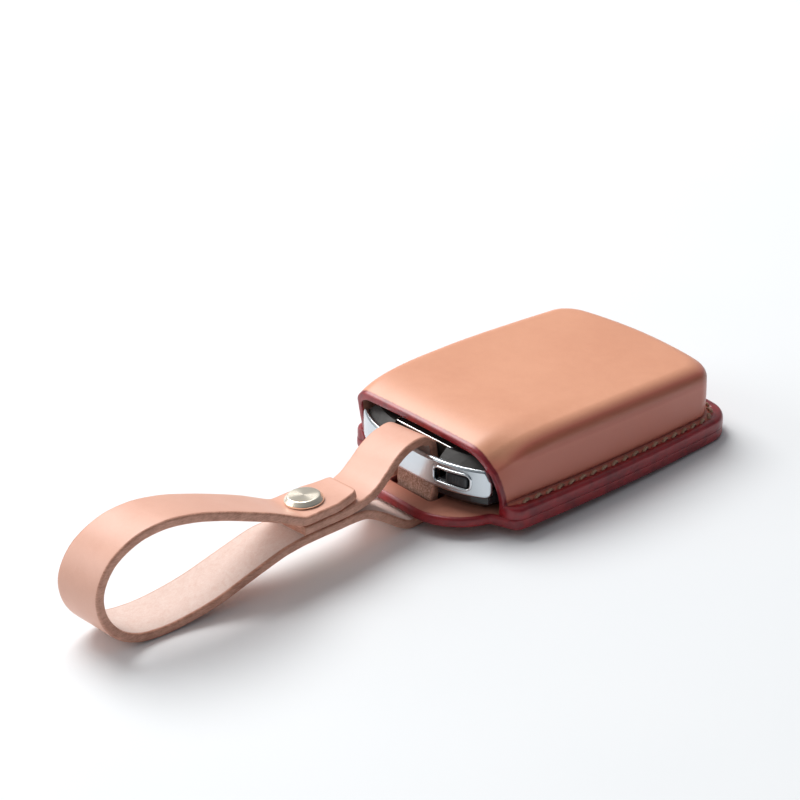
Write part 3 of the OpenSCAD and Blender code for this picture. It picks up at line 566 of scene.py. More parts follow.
# ---------------------------------------------------------------------------
# Moulded shell
# ---------------------------------------------------------------------------
def make_shell():
    n_sh, n_roof = 18, 30
    walls = np.concatenate([[5.8, 6.1, 6.5], np.linspace(7.0, SHELL_H - SHOULDER_R, 13)])
    body = blob_levels(SHELL_W, SHELL_L, 5.5, SHELL_H, SHOULDER_R, walls, n_sh, n_roof)
    inner_walls = np.linspace(BASE_T, SHELL_H - SHELL_T - (SHOULDER_R - SHELL_T + 1), len(walls))
    inner = blob_levels(SHELL_W - 2 * SHELL_T, SHELL_L - SHELL_T, 4.0, SHELL_H - SHELL_T, SHOULDER_R - SHELL_T + 1, inner_walls, n_sh, n_roof)

    # flange levels, from its underside round its painted edge to the crease
    xo, yo = whole(*half_outline(FLANGE_W, FLANGE_L, 7.0, 0.0, 3.0))
    xi, yi = whole(*half_outline(SHELL_W, SHELL_L, 5.5, 0.0, 0.0, SHELL_BOWS))
    prof = [(0.4, 2.5), (0.1, 2.51), (0.02, 2.56), (0.0, 2.7), (0, 3.4), (0, 3.9), (0.02, 4.25), (0.1, 4.6), (0.25, 4.88), (0.46, 5.09), (0.7, 5.21), (0.95, 5.28)]
    prof += [(v, 5.3) for v in (1.2, 1.45, 1.65, 1.85, 2.05, 2.25, 2.45, 2.65, 2.8, 2.95)]
    prof += [(2.95 + 0.55 * math.sin(math.radians(a)), 5.3 + 0.5 * (1 - math.cos(math.radians(a)))) for a in (18, 36, 54, 72)]
    flange, flange_v = [], []
    for v, z in prof:
        u = v / FLANGE_LIP
        x, y = xo + (xi - xo) * u, yo + (yi - yo) * u
        zz = np.full_like(x, z)
        if z >= 5.2 and v < 3.4:
            groove = np.exp(-((v - 2.25) / 0.42) ** 2) * 0.16
            d = np.sqrt(((np.stack([x, y], 1)[:, None, :] - HOLES[None]) ** 2).sum(2)).min(1)
            zz = zz - groove - 0.42 * np.exp(-(d / 0.42) ** 2) + 0.05 * np.exp(-((d - 0.85) / 0.3) ** 2)
        flange.append(np.stack([x, y, zz], 1))
        flange_v.append(v)
    nf = len(flange)
    outer = np.array(flange + body)
    inner = np.array(inner)
    n = outer.shape[1]
    v_of = np.array(flange_v + [9.0] * len(body))

    # hand-moulded waviness, gone at the mouth lip so that it stays clean
    centre = np.array([0, 33, 4.0])
    no, ni = grid_normals(outer, centre), grid_normals(inner, centre)
    cols = np.concatenate([side_y(60, 0), np.full(n // 2 + 1 - len(side_y(60, 0)), 61.0)])
    run = np.concatenate([cols, cols[-2::-1]])
    flat = outer.reshape(-1, 3)
    wv = waves(flat, 17.0, 3.1) * 0.075 + waves(flat, 7.0, 8.7) * 0.02
    wv = wv.reshape(outer.shape[:2]) * np.clip(run / 6, 0.2, 1)[None, :]
    wv[:nf] *= 0.5
    wv[:4] = 0
    outer = outer + no * wv[..., None]

    # burnished lip: both faces turn in towards the cut at the mouth
    def turn(d, rad):
        d = np.clip(d, 0, rad)
        return rad - np.sqrt(np.maximum(rad * rad - (rad - d) ** 2, 0))

    w_lip = np.clip((v_of - 1.6) / 1.2, 0, 1)[:, None]
    outer = outer - no * (turn(run, 0.36)[None, :] * w_lip)[..., None]
    inner = inner + ni * (turn(run, 0.4) + 0.4 * (1 - smooth01(run / 5)))[None, :][..., None]

    paint = np.maximum(np.clip(1 - (v_of[:, None] - 1.7) / 0.9, 0, 1) * np.ones((1, n)), np.clip(1.0 - (run[None, :] - 0.55) / 0.75, 0, 1) * np.clip((v_of[:, None] - 0.4), 0, 1))
    # painted shade: a dark red wash along the crease where the wall meets the flange, carried in the paint attribute
    crease = np.exp(-((np.arange(len(outer)) - (nf - 2)) / 3.4) ** 2)[:, None] * 0.42 * np.ones((1, n))
    paint = np.maximum(paint, crease)
    paint_in = np.clip(1 - (run[None, :] - 0.2) / 0.5, 0, 1) * np.ones((len(inner), 1))

    b = Build()
    # painted shade: walls darker towards the bottom and in a band round the shoulder, passed on in the rim attribute
    painted_wall_shade = smooth01((16.6 - outer[..., 2]) / 3.6) * (v_of[:, None] > 2.2)
    shoulder_shade_pos = (np.arange(len(outer)) - nf - len(walls)) / n_sh
    painted_wall_shade = np.maximum(painted_wall_shade, 1.8 * np.exp(-((shoulder_shade_pos - 0.12) / 0.36) ** 2)[:, None] * np.clip(run / 9, 0.35, 1)[None, :])
    o0 = b.add(on_case(outer.reshape(-1, 3)), paint=paint.reshape(-1), rim=painted_wall_shade.reshape(-1))
    b.grid(o0, len(outer), n, 0)
    i0 = b.add(on_case(inner.reshape(-1, 3)), paint=paint_in.reshape(-1), rim=0.0)
    lip = 5
    b.grid(i0, len(inner), n, lambda r, c: 0 if (c < lip or c >= n - 1 - lip) else 1)
    # underside of the flange, against the base
    for c in range(n - 1):
        b.face((o0 + c, o0 + c + 1, i0 + c + 1, i0 + c), 0)
    # cut face at the mouth
    for side in (0, n - 1):
        for k in range(nf):
            b.face((o0 + k * n + side, o0 + (k + 1) * n + side, i0 + side), 0)
        for j in range(len(inner) - 1):
            b.face((o0 + (nf + j) * n + side, o0 + (nf + j + 1) * n + side, i0 + (j + 1) * n + side, i0 + j * n + side), 0)
    return b.object("moulded_leather_shell", [MAT_SHELL, MAT_SHELL_IN], merge=2e-6)


# ---------------------------------------------------------------------------
# Base with tongue and slot
# ---------------------------------------------------------------------------
def resample(p, step):
    p = np.vstack([p, p[:1]])
    s = np.concatenate([[0], np.cumsum(np.linalg.norm(np.diff(p, axis=0), axis=1))])
    t = np.linspace(0, s[-1], int(round(s[-1] / step)) + 1)[:-1]
    return np.stack([np.interp(t, s, p[:, 0]), np.interp(t, s, p[:, 1])], 1)


def soften(p, times):
    for _ in range(times):
        p = 0.25 * np.roll(p, 1, 0) + 0.5 * p + 0.25 * np.roll(p, -1, 0)
    return p


def inward(p):
    t = np.roll(p, -1, 0) - np.roll(p, 1, 0)
    nrm = np.stack([-t[:, 1], t[:, 0]], 1)
    nrm /= np.linalg.norm(nrm, axis=1, keepdims=True)
    area = 0.5 * np.sum(p[:, 0] * np.roll(p[:, 1], -1) - np.roll(p[:, 0], -1) * p[:, 1])
    return nrm * (1 if area > 0 else -1)


def make_base():
    a = np.radians(np.arange(-90, -11, 3.0))
    half = [(0.0, -TONGUE_L)] + [(7.5 + 13.6 * math.cos(t), 13.6 - TONGUE_L + 13.6 * math.sin(t)) for t in a]
    half += [(21.9, -1.1), (23.0, -0.45), (24.2, -0.05)]
    x, y = half_outline(FLANGE_W, FLANGE_L, 7.0, 0.0, 2.6)
    half += list(zip(x.tolist(), y.tolist()))
    half = np.array(half)
    loop = np.vstack([half, np.stack([-half[-2:0:-1, 0], half[-2:0:-1, 1]], 1)])
    loop = soften(resample(loop, 0.45), 3)
    nin = inward(loop)
    under = [3.2, 3.05, 2.9, 2.75, 2.6, 2.45, 2.3, 2.15, 2.0, 1.85, 1.7, 1.55, 1.4, 1.2]
    prof = [(v, 0.0) for v in under] + [(0.55, 0.0), (0.25, 0.07), (0.08, 0.24), (0.0, 0.5), (0.0, 1.0), (0.0, 1.6), (0.04, 1.98), (0.14, 2.22), (0.3, 2.38), (0.52, 2.47), (0.8, 2.5), (1.3, 2.5), (2.6, 2.5)]
    paint = [0.0] * len(under) + [0.7, 1, 1, 1, 1, 1, 1, 1, 1, 0.9, 0.36, 0.06, 0.0]
    run = np.linspace(0, RUN[-1], 900)
    seam = np.stack([np.interp(run, RUN, LINE[:, 0]), np.interp(run, RUN, LINE[:, 1])], 1)
    b = Build()
    rows = []
    for (v, z), pt in zip(prof, paint):
        if len(rows) < len(under):
            # a shallow channel underneath takes the lower run of thread
            q = loop + nin * (v * (0.8 + 0.2 * smooth01((loop[:, 1] - 2) / 2)))[:, None]
            off = np.sqrt(((q[:, None, :] - seam[None]) ** 2).sum(2)).min(1)
            deep = 0.58 * (1 - smooth01((off - 0.3) / 0.5)) * smooth01((q[:, 1] - 4) / 1.5) * smooth01((3.2 - v) / 0.35)
            zz = deep + 0.2 * (1 - smooth01((q[:, 1] + 1.5) / 1.0))
            rows.append(b.add(on_case(np.column_stack([q, zz])), paint=pt))
            continue
        tight = smooth01((loop[:, 1] + 0.3) / 1.4) * (z > 1.9) * 0.8
        q = loop + nin * (v * (1 - tight * (v < 0.9)))[:, None]
        zz = np.full(len(q), z)
        wob = waves(np.column_stack([q, zz]), 6.0, 1.7) * 0.04 * smooth01((0.5 - loop[:, 1]) / 2)
        q = q + nin * (wob if v < 0.5 else wob * 0)[:, None]
        if z < 0.3:
            zz = zz + 0.2 * (1 - smooth01((q[:, 1] + 1.5) / 1.0))      # skived over the strap
        rows.append(b.add(on_case(np.column_stack([q, zz])), paint=pt))
    n = len(loop)
    for r0, r1 in zip(rows, rows[1:]):
        for c in range(n):
            d = (c + 1) % n
            b.face((r0 + c, r0 + d, r1 + d, r1 + c), 0)
    # slot through the tongue, its rim slightly rounded
    sl = []
    hw, y0, y1, rc = 6.6, -7.1, -2.9, 0.7
    for cx, cy, s0 in ((SLOT_X + hw - rc, y0 + rc, -90), (SLOT_X + hw - rc, y1 - rc, 0), (SLOT_X - hw + rc, y1 - rc, 90), (SLOT_X - hw + rc, y0 + rc, 180)):
        sl += [(cx + rc * math.cos(math.radians(s0 + t)), cy + rc * math.sin(math.radians(s0 + t))) for t in range(0, 91, 15)]
    sl = resample(np.array(sl), 0.45)
    sin_ = inward(sl)
    sprof = [(-0.5, 0.2), (-0.2, 0.2), (-0.06, 0.26), (0, 0.42), (0, 1.0), (0, 1.6), (0, 2.15), (-0.06, 2.36), (-0.2, 2.47), (-0.42, 2.5)]
    srows = []
    for k, (v, z) in enumerate(sprof):
        q = sl + sin_ * v
        srows.append(b.add(on_case(np.column_stack([q, np.full(len(q), z)])), paint=0.0 if k in (0, 9) else 0.75))
    m = len(sl)
    for k, (r0, r1) in enumerate(zip(srows, srows[1:])):
        for c in range(m):
            d = (c + 1) % m
            b.face((r0 + c, r0 + d, r1 + d, r1 + c), 1)
    ob = b.object("leather_base", [MAT_BASE, MAT_SLOT])
    bm = bmesh.new()
    bm.from_mesh(ob.data)
    bm.verts.ensure_lookup_table()
    for big, small in ((rows[-1], srows[-1]), (rows[0], srows[0])):
        ids = set(range(big, big + n)) | set(range(small, small + m))
        open_edges = [e for e in bm.edges if len(e.link_faces) == 1 and e.verts[0].index in ids and e.verts[1].index in ids]
        res = bmesh.ops.triangle_fill(bm, use_beauty=True, use_dissolve=False, edges=open_edges)
        for f in res["geom"]:
            if isinstance(f, bmesh.types.BMFace):
                f.material_index = 0
                f.smooth = True
    bmesh.ops.recalc_face_normals(bm, faces=bm.faces)
    bm.to_mesh(ob.data)
    bm.free()
    return ob


# ---------------------------------------------------------------------------
# Saddle stitches: two-ply waxed thread, one short bar for each stitch
# ---------------------------------------------------------------------------
def make_stitches():
    b = Build()
    ring, steps, rad = 12, 18, 0.42
    th = np.arange(ring) * 2 * math.pi / ring
    for k in range(N_ST):
        p, q = HOLES[k], HOLES[k + 1]
        d = q - p
        ln = np.linalg.norm(d)
        d = d / ln
        side = np.array([-d[1], d[0]])
        for top in (True, False):
            jig = 0.05 * math.sin(k * 2.3 + (0 if top else 1.1))
            first = None
            for i in range(steps + 1):
                t = i / steps
                s = 0.55 + (ln - 1.1) * t
                slant = (0.38 + jig) * (t - 0.5) * 2 * (1 if top else -1)
                rise = min(1.0, math.sin(math.pi * t) ** 0.42 * 1.06)
                if top:
                    z = FLANGE_TOP - 0.78 + 0.98 * rise
                else:
                    z = 0.86 - 0.42 * rise
                c2 = p + d * s + side * slant
                up = 1 if top else -1
                lean = math.atan2(math.cos(math.pi * t) * 0.9, 1.0) if t not in (0, 1) else math.copysign(1.1, 0.5 - t)
                tan = np.array([d[0] * math.cos(lean), d[1] * math.cos(lean), up * math.sin(lean)])
                sid = np.array([side[0], side[1], 0.0])
                upv = np.cross(tan, sid)
                tw = 2 * math.pi * s / 1.5
                rr = rad * (1.0 if top else 0.86) * (1 + 0.16 * np.cos(2 * (th - tw)))
                pts = np.array([c2[0], c2[1], z]) + np.outer(rr * np.cos(th), sid) + np.outer(rr * np.sin(th) * 0.86, upv)
                j = b.add(on_case(pts))
                if i == 0:
                    first = j
                    b.face(range(j, j + ring))
                else:
                    for c in range(ring):
                        e = (c + 1) % ring
                        b.face((j - ring + c, j - ring + e, j + e, j + c))
            b.face(range(j, j + ring))
    return b.object("flange_thread", [MAT_THREAD])


# ---------------------------------------------------------------------------
# The strap: one band of leather from its tip on top of the stack, round the
# wrist loop, under the tongue, up its slot and back over the bar to the stack
# ---------------------------------------------------------------------------
ROUTE = np.array([
    [2.6, -23, 14.8, 0, 0.08], [2.6, -26.6, 14.1, 0, 0.08], [2.5, -29.5, 13.7, 0, 0.07], [2.4, -33, 13.6, 0, 0.07],
    [2.3, -36.6, 13.6, 0, 0.07], [2.2, -40.6, 13.6, 0, 0.07], [2.1, -42.2, 13.95, 0, 0.07], [2.0, -44.5, 15.1, 0, 0.07],
    [1.6, -49, 17.4, 0, 0.07], [1.0, -54.5, 19.7, 0, 0.07], [0.4, -61, 22.2, 0.02, 0.07], [-0.4, -67.5, 24.1, 0.05, 0.06],
    [-1.2, -74, 24.8, 0.08, 0.06], [-2.0, -80.2, 23.6, 0.09, 0.07], [-2.6, -85.8, 20.1, 0.1, 0.07], [-2.9, -88.9, 14.6, 0.1, 0.05],
    [-2.9, -88.6, 9.0, 0.08, 0.03], [-2.7, -85.8, 4.4, 0.06, 0.02], [-2.4, -81.4, 1.8, 0.04, 0], [-1.9, -76, 1.1, 0.03, 0],
    [-1.2, -70, 1.6, 0.02, 0], [-0.3, -63, 3.1, 0.01, 0], [0.6, -55.5, 5.6, 0, 0.02], [1.5, -48, 8.1, 0, 0.05],
    [2.0, -44.5, 8.9, 0, 0.07], [2.2, -41.3, 9.2, 0, 0.07], [2.3, -37, 9.25, 0, 0.07], [2.4, -32.7, 9.25, 0, 0.07],
    [2.4, -29, 9.2, 0, 0.07], [2.3, -25.2, 8.7, 0, 0.06], [2.1, -21.6, 6.8, 0, 0.05], [1.9, -18.4, 4.6, 0, 0.04],
    [1.8, -15.6, 2.6, 0, 0.02], [1.7, -13, 1.3, 0, 0], [1.6, -10.4, 1.1, 0, 0], [1.5, -8.2, 1.1, 0, 0],
    [1.4, -6.4, 1.45, 0, 0], [1.4, -5.4, 2.8, -0.06, 0], [1.3, -4.85, 4.8, -0.09, 0], [0.8, -4.0, 7.0, -0.03, 0],
    [0.2, -3.65, 9.8, 0, 0], [-0.7, -3.4, 12.8, 0.01, 0.03], [-1.4, -3.4, 15.3, 0.02, 0.05], [-1.7, -5.2, 17, -0.01, 0.09],
    [-1.5, -8.4, 17, -0.02, 0.12], [-1.1, -11.3, 16.5, 0, 0.14], [-0.5, -14.2, 15.5, 0, 0.14], [0.2, -17.4, 13.8, 0, 0.13],
    [0.9, -20.6, 12.35, 0, 0.12], [1.7, -24.4, 11.6, 0, 0.09], [2.2, -28.4, 11.45, 0, 0.07], [2.4, -32.7, 11.45, 0, 0.07],
    [2.3, -37, 11.45, 0, 0.07], [2.2, -41.3, 11.45, 0, 0.07], [2.2, -42.2, 11.45, 0, 0.07]])


def route_at(s):
    n = len(ROUTE) - 1
    i = min(int(s), n - 1)
    u = s - i
    a, b, c, d = ROUTE[max(i - 1, 0)], ROUTE[i], ROUTE[min(i + 1, n)], ROUTE[min(i + 2, n)]
    v = 0.5 * (2 * b + (c - a) * u + (2 * a - 5 * b + 4 * c - d) * u * u + (3 * b - a - 3 * c + d) * u ** 3)
    w = 0.5 * ((c - a) + 2 * (2 * a - 5 * b + 4 * c - d) * u + 3 * (3 * b - a - 3 * c + d) * u * u)
    t = w[:3] / np.linalg.norm(w[:3])
    e = np.array([1, v[3], v[4]])
    e = e - (e @ t) * t
    e /= np.linalg.norm(e)
    return v[:3], e, np.cross(t, e)


def make_strap():
    ss = np.linspace(1, len(ROUTE) - 1, 2400)
    pts = np.array([route_at(s)[0] for s in ss])
    run = np.concatenate([[0], np.cumsum(np.linalg.norm(np.diff(pts, axis=0), axis=1))])
    total = run[-1]
    near = np.array([0, 0.02, 0.07, 0.15, 0.25, 0.36, 0.5, 0.65, 0.8, 1.0, 1.25])
    mid = np.arange(1.6, total - 1.5, 0.42)
    dist = np.concatenate([near, mid, (total - near)[::-1]])
    # section: grain face, far edge, flesh face, near edge, clockwise from the far side
    rc, hw, ht = 0.5, STRAP_W / 2, STRAP_T / 2
    sec, zone = [], []
    flat = (hw - rc) * np.sin(np.linspace(-math.pi / 2, math.pi / 2, 19))
    arc = np.radians([18, 36, 54, 72])
    for a in flat:
        sec.append((a, ht)); zone.append(0)
    for t in arc:
        sec.append((hw - rc + rc * math.sin(t), ht - rc + rc * math.cos(t))); zone.append(2)
    for v in np.linspace(ht - rc, -(ht - rc), 4):
        sec.append((hw, v)); zone.append(2)
    for t in arc[::-1]:
        sec.append((hw - rc + rc * math.sin(t), -(ht - rc + rc * math.cos(t)))); zone.append(2)
    for a in flat[::-1]:
        sec.append((a, -ht)); zone.append(1)
    for t in arc:
        sec.append((-(hw - rc + rc * math.sin(t)), -(ht - rc + rc * math.cos(t)))); zone.append(2)
    for v in np.linspace(-(ht - rc), ht - rc, 4):
        sec.append((-hw, v)); zone.append(2)
    for t in arc[::-1]:
        sec.append((-(hw - rc + rc * math.sin(t)), ht - rc + rc * math.cos(t))); zone.append(2)
    sec = np.array(sec)
    nring = len(sec)
    b = Build()
    first = None
    for k, dd in enumerate(dist):
        s = np.interp(dd, run, ss)
        c, e, n = route_at(s)
        end = total - dd
        half = hw
        if dd < 6.6:
            half = 4.72 + (hw - 4.72) * smooth01(dd / 7.6) * 1.0 + (hw - 4.72) * (dd / 6.6) * 0.0
            half = 4.72 + (hw - 4.72) * min(1.0, dd / 6.6)
        half -= (1.1 - math.sqrt(max(0.0, 1.1 ** 2 - (1.1 - dd) ** 2))) if dd < 1.1 else 0
        half -= (0.7 - math.sqrt(max(0.0, 0.7 ** 2 - (0.7 - end) ** 2))) if end < 0.7 else 0
        ins = 0.0
        for q in (dd, end):
            if q < 0.36:
                ins = 0.36 - math.sqrt(max(0.0, 0.36 ** 2 - (0.36 - q) ** 2))
        a = sec[:, 0] * (half - ins) / hw
        v = sec[:, 1] * (ht - ins) / ht
        p = c + np.outer(a, e) + np.outer(v, n)
        # soft crown towards the rims and slow waviness, made quieter on the stack
        ripple = waves(np.column_stack([a * 1.2, np.full(nring, dd), v]), 9.0, 5.3) * 0.035
        crown = -0.07 * np.clip((np.abs(a) - half + 1.6) / 1.6, 0, 1) ** 2 * np.sign(v)
        quiet = 0.3 if (dd < 22 or end < 18) else 1.0
        p = p + np.outer((ripple * quiet + crown) * (np.abs(sec[:, 1]) > 0.4), n)
        edge_wave = waves(np.column_stack([np.sign(a) * 40, np.full(nring, dd), np.zeros(nring)]), 11.0, 2.2) * 0.07
        p = p + np.outer(edge_wave * (np.abs(a) / hw) ** 3, e)
        rim = np.clip(1 - (half - np.abs(a)) / 1.15, 0, 1)
        if dd < 1.2:
            rim = np.maximum(rim, 1 - dd / 1.2)
        tab = smooth01((s - 36.6) / 0.8) * smooth01((41.4 - s) / 1.2)
        j = b.add(on_floor(p), rim=rim, along=dd, tab=tab)
        if k == 0:
            first = j
        else:
            for i in range(nring):
                d = (i + 1) % nring
                z = zone[i] if zone[i] == zone[d] else 2
                b.face((j - nring + i, j - nring + d, j + d, j + i), z)
    b.face(range(first, first + nring), 2)
    b.face(range(j, j + nring), 2)
    ob = b.object("leather_strap", [MAT_STRAP, MAT_STRAP_IN, MAT_STRAP_EDGE])
    return ob


# ---------------------------------------------------------------------------
# Turned metal: the cap of the post and its screw
# ---------------------------------------------------------------------------
def lathe(name, prof, mats, seg=96, flat=None):
    b = Build()
    t = np.arange(seg) * 2 * math.pi / seg
    for k, (r, z) in enumerate(prof):
        j = b.add(np.stack([r * np.cos(t), r * np.sin(t), np.full(seg, z)], 1) * 0.001)
        if k:
            for c in range(seg):
                d = (c + 1) % seg
                b.face((j - seg + c, j - seg + d, j + d, j + c), 0)
    b.face(range(0, seg), 0)
    b.face(range(j, j + seg), 0)
    ob = b.object(name, mats, flat=flat)
    return ob


def place_on_post(ob, z):
    m = Matrix.Translation(Vector((POST[0], POST[1] + SHIFT_Y, POST[2])) * 0.001) @ Matrix.Rotation(math.radians(-POST_ROLL), 4, "Y") @ Matrix.Translation((0, 0, z * 0.001))
    ob.matrix_world = m
    return ob


STACK = 2.2 + STRAP_T / 2 + 0.06


def make_cap():
    prof = [(2.0, -2 * STACK + 0.4), (2.0, -0.02), (4.1, 0.0), (4.2, 0.03), (4.25, 0.12), (4.25, 0.34), (4.23, 0.44), (4.16, 0.54)]
    prof += [(4.16 - 0.62 * i / 4, 0.54 + 0.70 * i / 4) for i in range(1, 5)]
    prof += [(3.46, 1.30), (3.36, 1.335), (3.2, 1.345), (2.6, 1.348), (1.8, 1.35), (0.9, 1.352), (0.25, 1.353)]
    return place_on_post(lathe("screw_post_cap", prof, [MAT_CAP], flat=math.radians(40)), STACK)


def make_screw():
    prof = [(1.5, 5.0 - 0.2), (1.5, 0.0), (3.85, 0.0), (3.97, 0.06), (4.0, 0.2), (4.0, 0.45), (3.9, 0.6), (3.4, 1.02), (3.25, 1.09), (3.0, 1.1), (1.5, 1.1), (0.3, 1.1)]
    prof = [(r, -z if i > 0 else z) for i, (r, z) in enumerate(prof)]
    ob = lathe("slotted_post_screw", prof, [MAT_SCREW], flat=math.radians(40))
    cut = bpy.data.meshes.new("cut")
    bm = bmesh.new()
    bmesh.ops.create_cube(bm, size=1.0, matrix=Matrix.Translation((0, 0, -0.0011)) @ Matrix.Diagonal((0.012, 0.0009, 0.0012, 1)))
    bm.to_mesh(cut)
    bm.free()
    co = bpy.data.objects.new("cut", cut)
    bpy.context.scene.collection.objects.link(co)
    md = ob.modifiers.new("slot", "BOOLEAN")
    md.operation, md.object, md.solver = "DIFFERENCE", co, "EXACT"
    apply_modifiers(ob)
    bpy.data.objects.remove(co)
    return place_on_post(ob, -STACK)


# ---------------------------------------------------------------------------
# End bar of the fob, its bezel and the release slider
# ---------------------------------------------------------------------------
BAR_HALF, BAR_FRONT, BAR_BOW, BAR_T, BAR_Z0, BAR_Z1 = 20.6, -7.0, 5.15, 1.2, 6.3, 12.9
BEZ_X, BEZ_Z, BEZ_ROT = 12.7, 9.6, 15.9


def bar_y(x, off=0.0):
    return BAR_FRONT + BAR_BOW * (np.abs(np.asarray(x, float)) / BAR_HALF) ** 3 + off


def make_bar():
    b = Build()
    xs = BAR_HALF * np.sin(np.linspace(-math.pi / 2, math.pi / 2, 141)) ** 1
    xs = np.concatenate([np.linspace(-BAR_HALF, -BAR_HALF + 1.2, 14)[:-1], np.linspace(-BAR_HALF + 1.2, BAR_HALF - 1.2, 110), np.linspace(BAR_HALF - 1.2, BAR_HALF, 14)[1:]])
    hh = (BAR_Z1 - BAR_Z0) / 2
    # section in (depth, height): front face slightly crowned, top edge with a wide polished chamfer
    sec = [(0.62, hh), (0.46, hh - 0.02), (0.34, hh - 0.09), (0.10, hh - 0.36), (0.03, hh - 0.47), (0.0, hh - 0.62)]
    sec += [(-0.05 * (1 - (v / 2.6) ** 2), v) for v in np.linspace(2.5, -2.5, 11)]
    sec += [(0.0, -hh + 0.5), (0.05, -hh + 0.3), (0.16, -hh + 0.13), (0.32, -hh + 0.03), (0.5, -hh)]
    sec += [(BAR_T - 0.2, -hh), (BAR_T - 0.05, -hh + 0.06), (BAR_T, -hh + 0.2), (BAR_T, 0.0), (BAR_T, hh - 0.2), (BAR_T - 0.05, hh - 0.06), (BAR_T - 0.2, hh)]
    sec = np.array(sec)
    rad = 1.15
    for k, x in enumerate(xs):
        q = BAR_HALF - abs(x)
        sc = 1.0
        if q < rad:
            sc = (hh - rad + math.sqrt(max(0.0, rad * rad - (rad - q) ** 2))) / hh
        dep = 0.0
        if q < 0.3:
            dep = 0.3 - math.sqrt(max(0.0, 0.09 - (0.3 - q) ** 2))
        d = np.clip(sec[:, 0], dep, BAR_T - dep * 0.5)
        z = (BAR_Z0 + BAR_Z1) / 2 + sec[:, 1] * sc
        top = BAR_Z1 - 2.6 * smooth01((1.25 - q) / 1.5)
        z = np.where(z > 9.0, np.minimum(z, top + (z - BAR_Z1) * 0.3), z)
        p = np.stack([np.full(len(sec), x), bar_y(x) + d, z], 1)
        j = b.add(on_case(p))
        if k:
            for c in range(len(sec)):
                e = (c + 1) % len(sec)
                b.face((j - len(sec) + c, j - len(sec) + e, j + e, j + c))
        else:
            b.face(range(j, j + len(sec)))
    b.face(range(j, j + len(sec)))
    ob = b.object("chrome_end_bar", [MAT_CHROME], flat=math.radians(38))
    # opening that the bezel sits in
    cut = ring_outline(9.2, 3.7, 1.2, 48)
    c = Build()
    for dep in (-3.0, 6.0):
        c.add(on_case(bezel_points(cut, dep, wrap=False)))
    c.grid(0, 2, 48, 0, wrap=True)
    c.face(range(0, 48))
    c.face(range(48, 96))
    co = c.object("cut", [MAT_CHROME])
    md = ob.modifiers.new("window", "BOOLEAN")
    md.operation, md.object, md.solver = "DIFFERENCE", co, "EXACT"
    apply_modifiers(ob)
    bpy.data.objects.remove(co)
    return ob


def ring_outline(w, h, r, n, skew=0.0):
    """Rounded rectangle with n evenly spaced points, from the right side anticlockwise."""
    pts = []
    for cx, cy, s0 in ((w / 2 - r, h / 2 - r, 0), (-w / 2 + r, h / 2 - r, 90), (-w / 2 + r, -h / 2 + r, 180), (w / 2 - r, -h / 2 + r, 270)):
        pts += [(cx + r * math.cos(math.radians(s0 + t)), cy + r * math.sin(math.radians(s0 + t))) for t in range(0, 91, 6)]
    p = np.array(pts)
    p = np.vstack([p, p[:1]])
    s = np.concatenate([[0], np.cumsum(np.linalg.norm(np.diff(p, axis=0), axis=1))])
    t = np.linspace(0, s[-1], n + 1)[:-1]
    return np.stack([np.interp(t, s, p[:, 0]), np.interp(t, s, p[:, 1])], 1)


def bezel_points(uv, depth, wrap=True):
    """Points (along, up) on the bar's face at the bezel; depth is into the bar. Wrapped ones follow its bow."""
    a = math.radians(BEZ_ROT)
    u, v = uv[:, 0], uv[:, 1]
    x = BEZ_X + u * math.cos(a) - depth * math.sin(a)
    y = float(bar_y(BEZ_X)) + u * math.sin(a) + depth * math.cos(a)
    if wrap:
        y = y + (bar_y(BEZ_X + u * math.cos(a)) - (float(bar_y(BEZ_X)) + u * math.sin(a)))
    return np.stack([x, y, BEZ_Z + v], 1)


def make_trim():
    """Bright line let into the fob's upper face, its top edges rounded over."""
    n, w, y0, y1 = 560, 18.6, -2.3, 50.0
    top = BASE_T + 0.1 + 11.7
    b = Build()
    rows = []
    for v, dz in ((0.0, -0.35), (0.0, -0.12), (0.03, -0.03), (0.09, 0.03), (0.18, 0.06), (0.32, 0.06), (0.41, 0.03), (0.47, -0.03), (0.5, -0.12), (0.5, -0.35)):
        o = ring_outline(w - 2 * v, y1 - y0 - 2 * v, max(0.7 - v, 0.12), n)
        rows.append(b.add(on_case(np.column_stack([o[:, 0], o[:, 1] + (y0 + y1) / 2, np.full(n, top + dz)]))))
    b.grid(rows[0], len(rows), n, 0, wrap=True)
    for c in range(n):
        d = (c + 1) % n
        b.face((rows[0] + c, rows[0] + d, rows[-1] + d, rows[-1] + c))
    return b.object("face_trim_ring", [MAT_TRIM], flat=math.radians(60))


def make_bezel():
    n = 120
    b = Build()
    rows = []
    for w, h, r, dep in ((8.9, 3.4, 1.0, 1.15), (9.2, 3.8, 1.3, 0.6), (9.86, 4.3, 1.7, 0.05), (9.84, 4.28, 1.7, -0.16), (9.7, 4.14, 1.65, -0.3), (9.48, 3.92, 1.5, -0.37),
                         (9.2, 3.62, 1.3, -0.38), (8.96, 3.3, 1.1, -0.32), (8.74, 3.0, 0.9, -0.18), (8.6, 2.84, 0.8, 0.0), (8.54, 2.78, 0.75, 0.5), (8.52, 2.76, 0.75, 1.15)):
        rows.append(b.add(on_case(bezel_points(ring_outline(w, h, r, n), dep))))
    b.grid(rows[0], len(rows), n, 0, wrap=True)
    for c in range(n):
        d = (c + 1) % n
        b.face((rows[0] + c, rows[0] + d, rows[-1] + d, rows[-1] + c))
    return b.object("slider_bezel_ring", [MAT_BEZEL], flat=math.radians(50))


